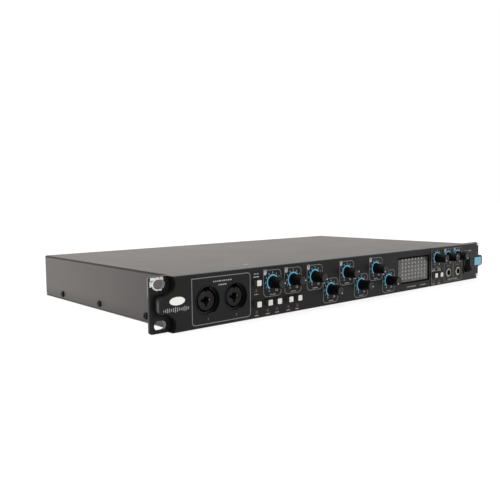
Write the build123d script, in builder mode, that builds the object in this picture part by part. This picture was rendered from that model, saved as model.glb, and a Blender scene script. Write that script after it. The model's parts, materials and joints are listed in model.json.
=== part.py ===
from build123d import *
import os
from math import cos, degrees, radians, sin, tan

# 19-inch rack audio interface, one rack unit high.
# Frame: origin at the centre of the rack-slot pattern on the rear face of the rack ears,
# +X to the right seen from the front, +Y to the rear, +Z up. Millimetres.

# ---- driving dimensions ----
PANEL_W = 482.6  # 19-inch panel width
PANEL_H = 44.0
EAR_T = 3.0  # ear thickness
FASCIA_T = 8.0  # how far the fascia stands in front of the ears
WALL_T = 4.0  # fascia wall in front of the control pocket
SLOT_X = 232.55  # half of the 465.1 mm slot pitch
SLOT_Z = 15.875  # half of the 31.75 mm slot pitch
SLOT_LEN = 10.4
SLOT_H = 7.2
SCOOP_R = 9.4  # finger scoop cut round each slot
LOBE_X = 237.0  # half width of the fascia between its scoops
EAR_CORNER_R = 1.8
LOBE_CORNER_R = 3.2
SCOOP_CORNER_R = 1.2
FASCIA_EDGE_R = 1.4
BODY_X = 219.0  # half width of the case
BODY_TOP = 21.15
BODY_BACK = 245.0
SHEET = 1.2  # steel sheet
BASE_Z = -PANEL_H / 2  # underside of the case
GAP = 0.3  # clearance round moving pieces
FIT = 0.1  # clearance between fixed pieces
CLOSE_FIT = 0.05  # pins, lamps and nuts in their holes
POCKET_X = 208.5  # half width of the control pocket behind the fascia
POCKET_H = 38.0
POCKET_CORNER_R = 3.0
COVER_EDGE_R = 1.4  # rolled top edges of the cover
COVER_BACK_R = 2.0  # cover's lower rear corners
SIDE_FLANGE_H = 12.0
SIDE_FLANGE_Y = (4.0, 240.0)
FRONT_FLANGE_RIM = 2.4  # front flange above its opening
REAR_TAB_W = 7.0
REAR_TAB_TOP = 18.5

FACE = -(EAR_T + FASCIA_T)  # Y of the fascia's front face
WALL_BACK = FACE + WALL_T  # Y of the back of the fascia wall
REAR_IN = BODY_BACK - SHEET  # Y of the rear panel's inner face
FLOOR = BASE_Z + SHEET  # top of the base sheet

# ---- places on the fascia: (x, z) ----
COMBO_PLACES = [(-192.5, -0.4), (-163.5, -0.4)]
GAIN_PLACES = [
    (-122.1, 7.5),
    (-96.9, 7.5),
    (-68.5, 7.5),
    (-46.6, -7.1),
    (-23.1, 7.5),
    (-1.2, -7.1),
    (22.3, 7.5),
    (44.0, -7.1),
]
MONITOR_PLACES = [(134.8, 9.9)]
PHONES_X = [158.0, 178.5]
PHONES_PLACES = [(x, 9.7) for x in PHONES_X]
PHONES_JACK_Z = -8.9
BUTTON_Z = -9.3
BUTTON_PLACES = [(-141.2, 8.9)] + [(x, BUTTON_Z) for x in (-141.2, -128.4, -117.4, -103.4, -92.2)]
BUTTON_PLACES += [(127.8, BUTTON_Z), (138.8, BUTTON_Z)]
BUTTON_LED_DROP = 7.0  # each button's lamp below its centre
STATUS_LED_PLACES = [(77.0, -17.8), (101.0, -17.8), (195.8, 14.3)]
METER_CENTRE = (89.2, 0.6)
METER_W = 60.0
METER_H = 28.8
LENS_W = 55.0
LENS_H = 25.0
LENS_CENTRE = (89.2, 0.4)
LENS_SINK = 1.1  # lens face below the fascia
LENS_LIP = 1.5  # retaining lip behind the panel
LENS_LIP_T = 0.8
METER_FRAME_R = 1.0
METER_FRAME_SINK = 1.2  # shallow frame recess round the lens
METER_LED_R = 1.3
METER_LED_GAP = 1.0  # lamps behind the lens
METER_LED_CENTRE = (90.4, 1.9)
METER_LED_STEP_X = 5.93
METER_LED_STEP_Z = 4.0
METER_COLUMNS = 8
METER_ROWS = 6
SWITCH_CENTRE = (199.5, -3.0)  # mains rocker
SWITCH_CUT = (13.4, 18.4)  # its cut-out in the fascia
SWITCH_BODY = (13.2, 18.2)
SWITCH_BEZEL = (15.4, 20.6)
BLUE_BADGE_CENTRE = (225.15, -0.45)
BLUE_BADGE_SIZE = (15.3, 9.6)
BLUE_BADGE_T = 0.5
BLUE_BADGE_CORNER_R = 1.0
OVAL_BADGE_CENTRE = (-221.8, 2.8)
OVAL_BADGE_R = (7.0, 3.2)
OVAL_BADGE_T = 0.4

# ---- controls ----
KNOB_BASE_R = 5.1
KNOB_TOP_R = 4.65
KNOB_LEN = 12.3
KNOB_EDGE_R = 0.4
KNOB_FACE_R = 4.05  # shallow turned dish in the knob's face
KNOB_FACE_SINK = 0.15
KNOB_FLUTES = 18
FLUTE_R = 0.5
FLUTE_OFFSET = 0.3  # flute centres outside the knob's mean radius
SKIRT_LEN = 1.2  # plain skirt below the flutes
SHAFT_SEAT = 8.0  # how far the shaft goes into the knob
KNOB_GAP = 0.5  # between knob and fascia
SHAFT_R = 3.0
SHAFT_FIT = 0.06  # running clearance of a shaft in its bush
CAP_SIZE = 5.0
CAP_PROUD = 4.0
CAP_TRAVEL = 2.5
CAP_CORNER_R = 0.8
CAP_EDGE_R = 0.5
CAP_TAIL = 3.0  # cap behind the fascia's face
STEM_R = 1.5
STEM_GAP = 0.8  # stem end to the control board when pressed
SWITCH_SIZE = 7.4
SWITCH_H = 5.6
LED_R = 1.0
LED_PROUD = 0.4
LED_DOME_R = 0.6
LED_FOOT_R = 1.6
LED_FOOT_H = 3.0
POT_SIZE = 11.0
POT_FLOOR = 1.2
CONTROL_PCB_Y = 4.0  # front face of the control board
PCB_T = 1.6

# ---- connectors ----
COMBO_RING_R = 12.0
COMBO_RING_LEN = 8.0
COMBO_LIP_H = 0.6  # ring above the panel
COMBO_LIP_R = 0.2
COMBO_MOUTH_R = 11.4  # inside of the ring
COMBO_MOUTH_DEPTH = 3.0
COMBO_GROOVE_R = 9.6
COMBO_GROOVE_DEPTH = 14.0
COMBO_INSERT_R = 8.0
COMBO_RECESS = 2.6  # insert face below the panel
COMBO_DEPTH = 26.0
COMBO_BACK_T = 1.0  # closed back of the shell
COMBO_BODY = 25.4
LATCH_SIZE = (7.0, 2.2, 9.0)
KEYWAY_SIZE = (2.4, 2.4, 10.0)
JACK_R = 3.2  # quarter-inch jack bore
JACK_BARREL_R = 4.4
JACK_PROUD = 1.2
JACK_DEPTH = 24.0
JACK_BODY = 12.0
JACK_BACK_T = 2.0  # closed back of the jack
BARREL_ROOT = 1.0  # barrel behind its panel
HEX_NUT_R = 6.6
PHONES_BARREL_R = 3.9
PHONES_NUT_R = 4.6
NUT_EDGE = 0.25
COMBO_JACK_DEPTH = 20.0
PIN_CIRCLE_R = 4.15
PIN_HOLE_R = 1.25
PIN_HOLE_DEPTH = 15.0
CONTACT_R = 0.95
CONTACT_SINK = 6.0  # contacts below the insert's face
EARTH_SINK = 0.8  # the first contact makes before the others

# ---- places on the rear panel, x as seen from the front ----
REAR_COMBO_PLACES = [(-196.0 + 28.0 * i, 0.0) for i in range(6)]
LINE_OUT_PLACES = [(-28.0 + 16.5 * i, z) for z in (9.3, -9.3) for i in range(5)]
MIDI_PLACES = [(62.0, 0.0), (84.0, 0.0)]
MIDI_R = 6.8
MIDI_DEPTH = 8.0
MIDI_RING_R = 8.5
MIDI_RING_LEN = 6.0
MIDI_PROUD = 0.8
MIDI_BODY = 19.0
MIDI_BODY_LEN = 13.0
MIDI_PIN_CIRCLE_R = 4.45
MIDI_PIN_R = 0.8
MIDI_PIN_DEPTH = 5.0
RCA_PLACES = [(103.0, 8.5), (103.0, -8.5)]
RCA_R = 4.15
RCA_HOLE_R = 1.7
RCA_PROUD = 8.0
RCA_HOLE_DEPTH = 14.0
RCA_COLLAR_R = 4.9
RCA_COLLAR_T = 3.0
RCA_COLLAR_PROUD = 1.0
RCA_BODY = (11.0, 12.0, 12.0)
OPTICAL_PLACES = [(119.0, 0.0), (134.0, 0.0)]
OPTICAL_BODY = 12.6
OPTICAL_MOUTH = 9.0
OPTICAL_DEPTH = 13.5
OPTICAL_PROUD = 1.0
OPTICAL_BACK_T = 5.0
FLAP_T = 0.8
FLAP_POCKET_H = 2.8  # hollow that the open flap swings into
FLAP_POCKET_LEN = 10.5
FLAP_POCKET_FRONT = 1.0  # hollow in front of the hinge
HINGE_R = 0.6
HINGE_DEPTH = 3.0  # flap hinge behind the rear panel's face
HINGE_Z = OPTICAL_MOUTH / 2 + 0.2
HINGE_LEN = OPTICAL_BODY - 2.2
DATA_PLACES = [(149.5, 7.5), (149.5, -7.5)]
DATA_SHELL = (13.0, 7.4, 16.0)
DATA_MOUTH = (11.4, 6.0, 11.0)
DATA_TONGUE = (8.0, 1.6, 10.0)
DATA_PROUD = 0.6
DATA_TONGUE_SINK = 1.0
INLET_CENTRE = (186.0, 0.0)
INLET_CUT = (28.0, 21.0)
INLET_BODY = (27.8, 20.8, 20.0)
INLET_FLANGE = (50.0, 23.0)
INLET_FLANGE_R = 4.0
INLET_MOUTH = (25.0, 17.0)
INLET_MOUTH_CUT = 5.0
INLET_DEPTH = 17.0
INLET_FLANGE_T = 2.0
BLADE_TIP = 7.0  # blade tips below the inlet's face
BLADE_SIZE = (2.0, 4.0)
BLADE_PLACES = [(-7.0, -2.0), (7.0, -2.0), (0, 2.0)]
INLET_SCREW_PLACES = [(INLET_CENTRE[0] + s * 20.0, INLET_CENTRE[1]) for s in (-1, 1)]

# ---- screws ----
SIDE_SCREW_Y = [39.3, 121.9, 202.2]
SIDE_SCREW_Z = -16.2
SCREW_HEAD_R = 3.0
SCREW_HEAD_H = 1.7
SCREW_HEAD_ROUND = 1.0
SCREW_R = 1.5
SCREW_LEN = 5.0
SCREW_CROSS = (3.4, 0.75, 0.55)  # cross recess: length, width, depth
SCREW_CLEAR = 0.1
PANEL_SCREW_DEPTH = 5.0
REAR_SCREW_X = 213.0
REAR_SCREW_PLACES = [(x, z) for x in (-REAR_SCREW_X, REAR_SCREW_X) for z in (15.0, -16.0)]
REAR_SCREW_PLACES += [(50.0, 16.5)]
FRONT_SCREW_PLACES = [(x, z) for x in (-213.0, 213.0) for z in (-9.0, 9.0)]
MAIN_PCB_Z = -17.2  # underside of the main and supply boards
MAIN_PCB = (-212.0, 108.0, 70.0, 238.0)  # x from, x to, y from, y to
PSU_PCB = (112.0, 206.0, 60.0, 206.0)

# ---- boards and supply ----
CONTROL_PCB_X = (-144.0, 199.0)
CONTROL_PCB_H = 32.0
STANDOFF_HEX_R = 3.2
STANDOFF_PIN_R = 1.5
STANDOFF_PIN_H = 3.0
STANDOFF_INSET = 6.0
STANDOFF_REAR_INSET = 36.0  # clear of the rear connectors
TRANSFORMER_CENTRE = (160.0, 130.0)
TRANSFORMER_CORE = (34.0, 40.0, 24.0)
TRANSFORMER_COIL = (24.0, 52.0, 20.0)
TRANSFORMER_R = 1.5
CAPACITOR_R = 6.5
CAPACITOR_H = 22.0
CAPACITOR_PLACES = [(130.0, 85.0), (146.0, 85.0), (192.0, 90.0), (192.0, 110.0)]
PROCESSOR_PLACE = (60.0, 150.0)
PROCESSOR_SIZE = 24.0
AMPLIFIER_PLACES = [(-180.0 + 34.0 * i, 140.0) for i in range(6)]
AMPLIFIER_SIZE = (9.0, 6.0)
CONVERTER_PLACES = [(20.0, 150.0), (20.0, 110.0)]
CONVERTER_SIZE = 14.0
CHIP_T = 1.6
RIBBON_X = (-60.0, -20.0)
RIBBON_T = 0.9
RIBBON_Z = -8.0
RIBBON_BEND_Y = 40.0
RIBBON_FOOT_Y = (74.0, 78.0)
RIBBON_FOLD_H = 1.0  # fold above the main board

# ---- mains rocker ----
ROCKER_W = 11.6
ROCKER_R = 8.4
ROCKER_RISE = 2.6  # middle of the rocker's V in front of its pivot
ROCKER_SWING = 22.0  # from one side to the other
ROCKER_PIN_R = 1.2
ROCKER_DEPTH = 18.0
ROCKER_WELL = 13.5
BEZEL_T = 1.0
BEZEL_CORNER_R = 1.2
BEZEL_EDGE_R = 0.5
PIVOT_Y = FACE + 1.6


def front_plane(x, z, y=FACE):
    """A plane on the front, its normal pointing out to the user."""
    return Plane(origin=(x, y, z), x_dir=(1, 0, 0), z_dir=(0, -1, 0))


def rear_plane(x, z, y=BODY_BACK):
    """A plane on the rear panel, its normal pointing out of the back."""
    return Plane(origin=(x, y, z), x_dir=(-1, 0, 0), z_dir=(0, 1, 0))


def write_node(part, label):
    part.label = label
    export_step(part, f"parts/{label}.step")


def write_group(pieces, label):
    """Write several like pieces as the separate solids of one node."""
    with BuildPart() as node:
        add(pieces)
    write_node(node.part, label)


os.makedirs("parts", exist_ok=True)


# ================= casework =================
with BuildPart() as front_panel:
    # the ears and the back of the panel, one plate
    with BuildSketch(Plane.XZ):
        RectangleRounded(PANEL_W, PANEL_H, EAR_CORNER_R)
        with Locations(*[(i * SLOT_X, k * SLOT_Z) for i in (-1, 1) for k in (-1, 1)]):
            SlotOverall(SLOT_LEN, SLOT_H, mode=Mode.SUBTRACT)
    extrude(amount=EAR_T)
    # the thick fascia, scooped round each rack slot
    with BuildSketch(Plane.XZ.offset(EAR_T)) as fascia_outline:
        Rectangle(2 * LOBE_X, PANEL_H)
        with Locations(*[(i * SLOT_X, k * SLOT_Z) for i in (-1, 1) for k in (-1, 1)]):
            Circle(SCOOP_R, mode=Mode.SUBTRACT)
        lobe_corners = fascia_outline.vertices().filter_by(lambda v: abs(v.X) > LOBE_X - GAP)
        fillet(lobe_corners, LOBE_CORNER_R)
        scoop_corners = fascia_outline.vertices().filter_by(lambda v: abs(v.Z) > PANEL_H / 2 - GAP)
        fillet(scoop_corners, SCOOP_CORNER_R)
    extrude(amount=FASCIA_T)
    front_rim = front_panel.faces().sort_by(Axis.Y)[0].outer_wire().edges()
    fillet(front_rim, FASCIA_EDGE_R)
    # control pocket behind the fascia wall
    with BuildSketch(Plane.XZ):
        RectangleRounded(2 * POCKET_X, POCKET_H, POCKET_CORNER_R)
    extrude(amount=EAR_T + FASCIA_T - WALL_T, mode=Mode.SUBTRACT)
    # openings for the controls
    with BuildSketch(Plane.XZ.offset(-FACE)):
        with Locations(*COMBO_PLACES):
            Circle(COMBO_RING_R + FIT)
        with Locations(*(GAIN_PLACES + MONITOR_PLACES + PHONES_PLACES)):
            Circle(SHAFT_R + 2 * GAP)
        with Locations(*BUTTON_PLACES):
            RectangleRounded(CAP_SIZE + 2 * GAP, CAP_SIZE + 2 * GAP, CAP_CORNER_R + GAP)
        with Locations(*[(x, z - BUTTON_LED_DROP) for x, z in BUTTON_PLACES]):
            Circle(LED_R + CLOSE_FIT)
        with Locations(*STATUS_LED_PLACES):
            Circle(LED_R + CLOSE_FIT)
        with Locations(*[(x, PHONES_JACK_Z) for x in PHONES_X]):
            Circle(PHONES_BARREL_R + FIT)
        with Locations(SWITCH_CENTRE):
            Rectangle(*SWITCH_CUT)
        with Locations(LENS_CENTRE):
            Rectangle(LENS_W + 2 * GAP, LENS_H + 2 * GAP)
    extrude(amount=-WALL_T - 1, mode=Mode.SUBTRACT)
    # shallow recess that frames the meter lens
    with BuildSketch(Plane.XZ.offset(-FACE)):
        with Locations(METER_CENTRE):
            RectangleRounded(METER_W, METER_H, METER_FRAME_R)
    extrude(amount=-METER_FRAME_SINK, mode=Mode.SUBTRACT)
    # blind holes in the back for the panel screws
    with BuildSketch(Plane.XZ):
        with Locations(*FRONT_SCREW_PLACES):
            Circle(SCREW_R)
    extrude(amount=PANEL_SCREW_DEPTH, mode=Mode.SUBTRACT)
write_node(front_panel.part, "front_panel")

with BuildPart() as top_cover:
    # inverted-U sheet: top and both sides
    with BuildSketch(Plane.XZ.offset(-GAP)):
        with Locations((0, (BODY_TOP + FLOOR + GAP) / 2)):
            Rectangle(2 * BODY_X, BODY_TOP - FLOOR - GAP)
            Rectangle(2 * (BODY_X - SHEET), BODY_TOP - FLOOR - GAP, mode=Mode.SUBTRACT)
        with Locations((0, BODY_TOP - SHEET / 2)):
            Rectangle(2 * BODY_X, SHEET)
    extrude(amount=-(BODY_BACK - GAP))
    top_edges = top_cover.edges().filter_by(Axis.Y)
    fillet(top_edges.group_by(Axis.Z)[-1], COVER_EDGE_R)
    lower_back = top_cover.edges().filter_by(Axis.X).filter_by(lambda e: e.center().Z < SIDE_SCREW_Z)
    fillet(lower_back.group_by(Axis.Y)[-1], COVER_BACK_R)
    for side in (-1, 1):
        for y in SIDE_SCREW_Y:
            with Locations(Location((side * (BODY_X - SHEET / 2), y, SIDE_SCREW_Z), (0, 90, 0))):
                Cylinder(SCREW_R + SCREW_CLEAR, 3 * SHEET, mode=Mode.SUBTRACT)
write_node(top_cover.part, "top_cover")

FLANGE_X = BODY_X - SHEET - FIT  # outer face of the base's side flanges
FLANGE_TOP = 19.4  # top of the base's front flange
with BuildPart() as chassis_base:
    # floor sheet
    with BuildSketch(Plane.XY.offset(BASE_Z)):
        with Locations((0, (BODY_BACK + GAP) / 2)):
            Rectangle(2 * BODY_X, BODY_BACK - GAP)
    extrude(amount=SHEET)
    # side flanges that take the cover screws
    for side in (-1, 1):
        with BuildSketch(Plane.XY.offset(FLOOR)):
            with Locations((side * (FLANGE_X - SHEET / 2), sum(SIDE_FLANGE_Y) / 2)):
                Rectangle(SHEET, SIDE_FLANGE_Y[1] - SIDE_FLANGE_Y[0])
        extrude(amount=SIDE_FLANGE_H)
    # front flange screwed to the back of the fascia, open for the controls
    with BuildSketch(Plane.XZ.offset(-FIT)):
        with Locations((0, (FLOOR + FLANGE_TOP) / 2)):
            Rectangle(2 * FLANGE_X, FLANGE_TOP - FLOOR)
        with Locations((0, (FLOOR + FLANGE_TOP) / 2 - FRONT_FLANGE_RIM)):
            Rectangle(2 * POCKET_X, FLANGE_TOP - FLOOR, mode=Mode.SUBTRACT)
        with Locations(*FRONT_SCREW_PLACES):
            Circle(SCREW_R + SCREW_CLEAR, mode=Mode.SUBTRACT)
    extrude(amount=-SHEET)
    # tabs behind the rear panel for its corner screws
    for x in (-REAR_SCREW_X, REAR_SCREW_X):
        with BuildSketch(Plane.XZ.offset(-(REAR_IN - FIT))):
            with Locations((x, (FLOOR + REAR_TAB_TOP) / 2)):
                Rectangle(REAR_TAB_W, REAR_TAB_TOP - FLOOR)
        extrude(amount=SHEET)
    with BuildSketch(Plane.XZ.offset(-REAR_IN)):
        with Locations(*REAR_SCREW_PLACES[:4]):
            Circle(SCREW_R + CLOSE_FIT)
    extrude(amount=3 * SHEET, mode=Mode.SUBTRACT)
    for side in (-1, 1):
        for y in SIDE_SCREW_Y:
            with Locations(Location((side * FLANGE_X, y, SIDE_SCREW_Z), (0, 90, 0))):
                Cylinder(SCREW_R + CLOSE_FIT, 4 * SHEET, mode=Mode.SUBTRACT)
write_node(chassis_base.part, "chassis_base")

with BuildPart() as rear_panel:
    with BuildSketch(Plane.XZ.offset(-REAR_IN)):
        with Locations((0, (FLOOR + BODY_TOP - SHEET) / 2)):
            Rectangle(2 * (BODY_X - SHEET - 2 * FIT), BODY_TOP - SHEET - FLOOR - 4 * FIT)
        with Locations(*REAR_COMBO_PLACES):
            Circle(COMBO_RING_R + FIT, mode=Mode.SUBTRACT)
        with Locations(*LINE_OUT_PLACES):
            Circle(JACK_BARREL_R + FIT, mode=Mode.SUBTRACT)
        with Locations(*MIDI_PLACES):
            Circle(MIDI_RING_R + FIT, mode=Mode.SUBTRACT)
        with Locations(*RCA_PLACES):
            Circle(RCA_COLLAR_R + FIT, mode=Mode.SUBTRACT)
        with Locations(*OPTICAL_PLACES):
            Rectangle(OPTICAL_BODY + 2 * FIT, OPTICAL_BODY + 2 * FIT, mode=Mode.SUBTRACT)
        with Locations(*DATA_PLACES):
            Rectangle(DATA_SHELL[0] + 2 * FIT, DATA_SHELL[1] + 2 * FIT, mode=Mode.SUBTRACT)
        with Locations(INLET_CENTRE):
            Rectangle(*INLET_CUT, mode=Mode.SUBTRACT)
        with Locations(*INLET_SCREW_PLACES):
            Circle(SCREW_R + SCREW_CLEAR, mode=Mode.SUBTRACT)
        with Locations(*REAR_SCREW_PLACES):
            Circle(SCREW_R + SCREW_CLEAR, mode=Mode.SUBTRACT)
    extrude(amount=-SHEET)
write_node(rear_panel.part, "rear_panel")


# ================= screws =================
def pan_screw(plane, length=SCREW_LEN):
    """A cross-recessed pan-head screw whose head sits on the plane."""
    with BuildPart(plane) as screw:
        Cylinder(SCREW_HEAD_R, SCREW_HEAD_H, align=(Align.CENTER, Align.CENTER, Align.MIN))
        fillet(screw.faces().sort_by(Axis(plane.origin, plane.z_dir))[-1].edges(), SCREW_HEAD_ROUND)
        Cylinder(SCREW_R, length, align=(Align.CENTER, Align.CENTER, Align.MAX))
        arm, slit, depth = SCREW_CROSS
        with Locations((0, 0, SCREW_HEAD_H)):
            Box(arm, slit, 2 * depth, mode=Mode.SUBTRACT)
            Box(slit, arm, 2 * depth, mode=Mode.SUBTRACT)
    return screw.part


def side_plane(side, y):
    """A plane on the cover's side, its normal pointing outwards."""
    return Plane(origin=(side * BODY_X, y, SIDE_SCREW_Z), x_dir=(0, side, 0), z_dir=(side, 0, 0))


case_screws = [pan_screw(side_plane(s, y)) for s in (-1, 1) for y in SIDE_SCREW_Y]
case_screws += [pan_screw(rear_plane(x, z, FIT + SHEET)) for x, z in FRONT_SCREW_PLACES]
write_group(case_screws, "case_screws")
rear_screws = [pan_screw(rear_plane(x, z)) for x, z in REAR_SCREW_PLACES]
rear_screws += [pan_screw(rear_plane(x, z, BODY_BACK + INLET_FLANGE_T)) for x, z in INLET_SCREW_PLACES]
write_group(rear_screws, "rear_screws")


# ================= badges and meter =================
with BuildPart() as blue_badge:
    with BuildSketch(Plane.XZ.offset(-FACE)):
        with Locations(BLUE_BADGE_CENTRE):
            RectangleRounded(*BLUE_BADGE_SIZE, BLUE_BADGE_CORNER_R)
    extrude(amount=BLUE_BADGE_T)
write_node(blue_badge.part, "blue_badge")

with BuildPart() as oval_badge:
    with BuildSketch(Plane.XZ.offset(-FACE)):
        with Locations(OVAL_BADGE_CENTRE):
            Ellipse(*OVAL_BADGE_R)
    extrude(amount=OVAL_BADGE_T)
write_node(oval_badge.part, "oval_badge")

with BuildPart() as meter_lens:
    with BuildSketch(Plane.XZ.offset(-(WALL_BACK + FIT))):
        with Locations(LENS_CENTRE):
            Rectangle(LENS_W, LENS_H)
    extrude(amount=WALL_T + FIT - LENS_SINK)
    with BuildSketch(Plane.XZ.offset(-(WALL_BACK + FIT))):
        with Locations(LENS_CENTRE):
            Rectangle(LENS_W + 2 * LENS_LIP, LENS_H + 2 * LENS_LIP)
    extrude(amount=-LENS_LIP_T)
write_node(meter_lens.part, "meter_lens")

with BuildPart() as meter_leds:
    with BuildSketch(Plane.XZ.offset(-CONTROL_PCB_Y)):
        with Locations(METER_LED_CENTRE):
            with GridLocations(METER_LED_STEP_X, METER_LED_STEP_Z, METER_COLUMNS, METER_ROWS):
                Circle(METER_LED_R)
    extrude(amount=CONTROL_PCB_Y - WALL_BACK - METER_LED_GAP)
write_node(meter_leds.part, "meter_leds")


def lamp(x, z):
    """A small round lamp, its dome just proud of the fascia, standing on the control board."""
    with BuildPart(front_plane(x, z, CONTROL_PCB_Y)) as led:
        height = CONTROL_PCB_Y - FACE + LED_PROUD
        Cylinder(LED_R, height, align=(Align.CENTER, Align.CENTER, Align.MIN))
        fillet(led.faces().sort_by(Axis.Y)[0].edges(), LED_DOME_R)
        Cylinder(LED_FOOT_R, LED_FOOT_H, align=(Align.CENTER, Align.CENTER, Align.MIN))
    return led.part


write_group([lamp(x, z - BUTTON_LED_DROP) for x, z in BUTTON_PLACES], "button_lamps")
write_group([lamp(x, z) for x, z in STATUS_LED_PLACES], "status_lamps")


# ================= knobs and their potentiometers =================
def knob(x, z):
    """A fluted, slightly tapered knob with its shaft as a second solid."""
    lean = degrees((KNOB_BASE_R - KNOB_TOP_R) / KNOB_LEN)
    flute_circle_r = (KNOB_BASE_R + KNOB_TOP_R) / 2 + FLUTE_OFFSET
    with BuildPart(front_plane(x, z, FACE - KNOB_GAP)) as cap:
        Cone(KNOB_BASE_R, KNOB_TOP_R, KNOB_LEN, align=(Align.CENTER, Align.CENTER, Align.MIN))
        fillet(cap.faces().sort_by(Axis.Y)[0].edges(), KNOB_EDGE_R)
        with Locations((0, 0, KNOB_LEN / 2 + SKIRT_LEN)):
            with PolarLocations(flute_circle_r, KNOB_FLUTES):
                Cylinder(FLUTE_R, KNOB_LEN, rotation=(0, -lean, 0), mode=Mode.SUBTRACT)
        with Locations((0, 0, KNOB_LEN)):
            Cylinder(KNOB_FACE_R, 2 * KNOB_FACE_SINK, mode=Mode.SUBTRACT)
        Cylinder(
            SHAFT_R, SHAFT_SEAT, align=(Align.CENTER, Align.CENTER, Align.MIN), mode=Mode.SUBTRACT
        )
    with BuildPart(front_plane(x, z, FACE - KNOB_GAP - SHAFT_SEAT)) as shaft:
        length = SHAFT_SEAT + KNOB_GAP + CONTROL_PCB_Y - FACE - POT_FLOOR - GAP
        Cylinder(SHAFT_R, length, align=(Align.CENTER, Align.CENTER, Align.MAX))
    return [cap.part, shaft.part]


def potentiometer(x, z):
    """The potentiometer body behind the fascia, with the bush that the shaft turns in."""
    with BuildPart(front_plane(x, z, CONTROL_PCB_Y)) as pot:
        height = CONTROL_PCB_Y - WALL_BACK - 2 * FIT
        Box(POT_SIZE, POT_SIZE, height, align=(Align.CENTER, Align.CENTER, Align.MIN))
        with Locations((0, 0, POT_FLOOR)):
            Cylinder(
                SHAFT_R + SHAFT_FIT,
                height,
                align=(Align.CENTER, Align.CENTER, Align.MIN),
                mode=Mode.SUBTRACT,
            )
    return pot.part


for number, place in enumerate(GAIN_PLACES, 1):
    write_group(knob(*place), f"gain_knob_{number}")
write_group(knob(*MONITOR_PLACES[0]), "monitor_knob")
for number, place in enumerate(PHONES_PLACES, 1):
    write_group(knob(*place), f"headphone_knob_{number}")
all_knob_places = GAIN_PLACES + MONITOR_PLACES + PHONES_PLACES
write_group([potentiometer(*place) for place in all_knob_places], "potentiometers")


# ================= push buttons =================
def button(x, z):
    """A square cap on a round stem that slides in its switch."""
    with BuildPart(front_plane(x, z, FACE - CAP_PROUD)) as cap:
        with BuildSketch(front_plane(x, z, FACE - CAP_PROUD)):
            RectangleRounded(CAP_SIZE, CAP_SIZE, CAP_CORNER_R)
        extrude(amount=-(CAP_PROUD + CAP_TAIL))
        fillet(cap.faces().sort_by(Axis.Y)[0].edges(), CAP_EDGE_R)
        stem = CAP_PROUD + CONTROL_PCB_Y - FACE - CAP_TRAVEL - STEM_GAP
        Cylinder(STEM_R, stem, align=(Align.CENTER, Align.CENTER, Align.MAX))
    return cap.part


def button_switch(x, z):
    """The latching switch that a button's stem slides in."""
    with BuildPart(front_plane(x, z, CONTROL_PCB_Y)) as switch:
        Box(SWITCH_SIZE, SWITCH_SIZE, SWITCH_H, align=(Align.CENTER, Align.CENTER, Align.MIN))
        with Locations((0, 0, STEM_GAP / 2)):
            Cylinder(
                STEM_R + SHAFT_FIT,
                SWITCH_H,
                align=(Align.CENTER, Align.CENTER, Align.MIN),
                mode=Mode.SUBTRACT,
            )
    return switch.part


for number, place in enumerate(BUTTON_PLACES, 1):
    write_node(button(*place), f"button_{number}")
write_group([button_switch(*place) for place in BUTTON_PLACES], "button_switches")


# ================= combination connectors =================
def combo_shell(plane):
    """The moulded shell: a thin ring, the wide mouth inside it and the groove for the plug's collar."""
    with BuildPart(plane) as shell:
        with Locations((0, 0, COMBO_LIP_H)):
            Cylinder(COMBO_RING_R, COMBO_RING_LEN, align=(Align.CENTER, Align.CENTER, Align.MAX))
        with Locations((0, 0, -WALL_T - 4 * FIT)):
            Box(
                COMBO_BODY,
                COMBO_BODY,
                COMBO_DEPTH - WALL_T,
                align=(Align.CENTER, Align.CENTER, Align.MAX),
            )
        with Locations((0, 0, COMBO_LIP_H)):
            for radius, depth in (
                (COMBO_MOUTH_R, COMBO_MOUTH_DEPTH),
                (COMBO_GROOVE_R, COMBO_GROOVE_DEPTH),
                (COMBO_INSERT_R, COMBO_DEPTH - COMBO_BACK_T),
            ):
                Cylinder(
                    radius,
                    depth,
                    align=(Align.CENTER, Align.CENTER, Align.MAX),
                    mode=Mode.SUBTRACT,
                )
        rim = shell.faces().sort_by(Axis(plane.origin, plane.z_dir))[-1].edges()
        fillet(rim, COMBO_LIP_R)
        # latch window at the top of the mouth
        with Locations((0, COMBO_MOUTH_R - LATCH_SIZE[1] / 2 - 4 * FIT, 0)):
            Box(*LATCH_SIZE, align=(Align.CENTER, Align.CENTER, Align.MAX), mode=Mode.SUBTRACT)
    return shell.part


def combo_insert(plane):
    """The insert with the jack bore in the middle and the three pin holes round it."""
    with BuildPart(plane) as insert:
        with Locations((0, 0, -COMBO_RECESS)):
            Cylinder(
                COMBO_INSERT_R,
                COMBO_DEPTH - COMBO_RECESS - 2 * COMBO_BACK_T,
                align=(Align.CENTER, Align.CENTER, Align.MAX),
            )
            Cylinder(
                JACK_R,
                COMBO_JACK_DEPTH,
                align=(Align.CENTER, Align.CENTER, Align.MAX),
                mode=Mode.SUBTRACT,
            )
            with Locations((-PIN_CIRCLE_R, 0), (PIN_CIRCLE_R, 0), (0, -PIN_CIRCLE_R)):
                Cylinder(
                    PIN_HOLE_R,
                    PIN_HOLE_DEPTH,
                    align=(Align.CENTER, Align.CENTER, Align.MAX),
                    mode=Mode.SUBTRACT,
                )
            # polarising keyway
            with Locations((0, COMBO_INSERT_R, 0)):
                Box(*KEYWAY_SIZE, align=(Align.CENTER, Align.CENTER, Align.MAX), mode=Mode.SUBTRACT)
    return insert.part


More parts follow.
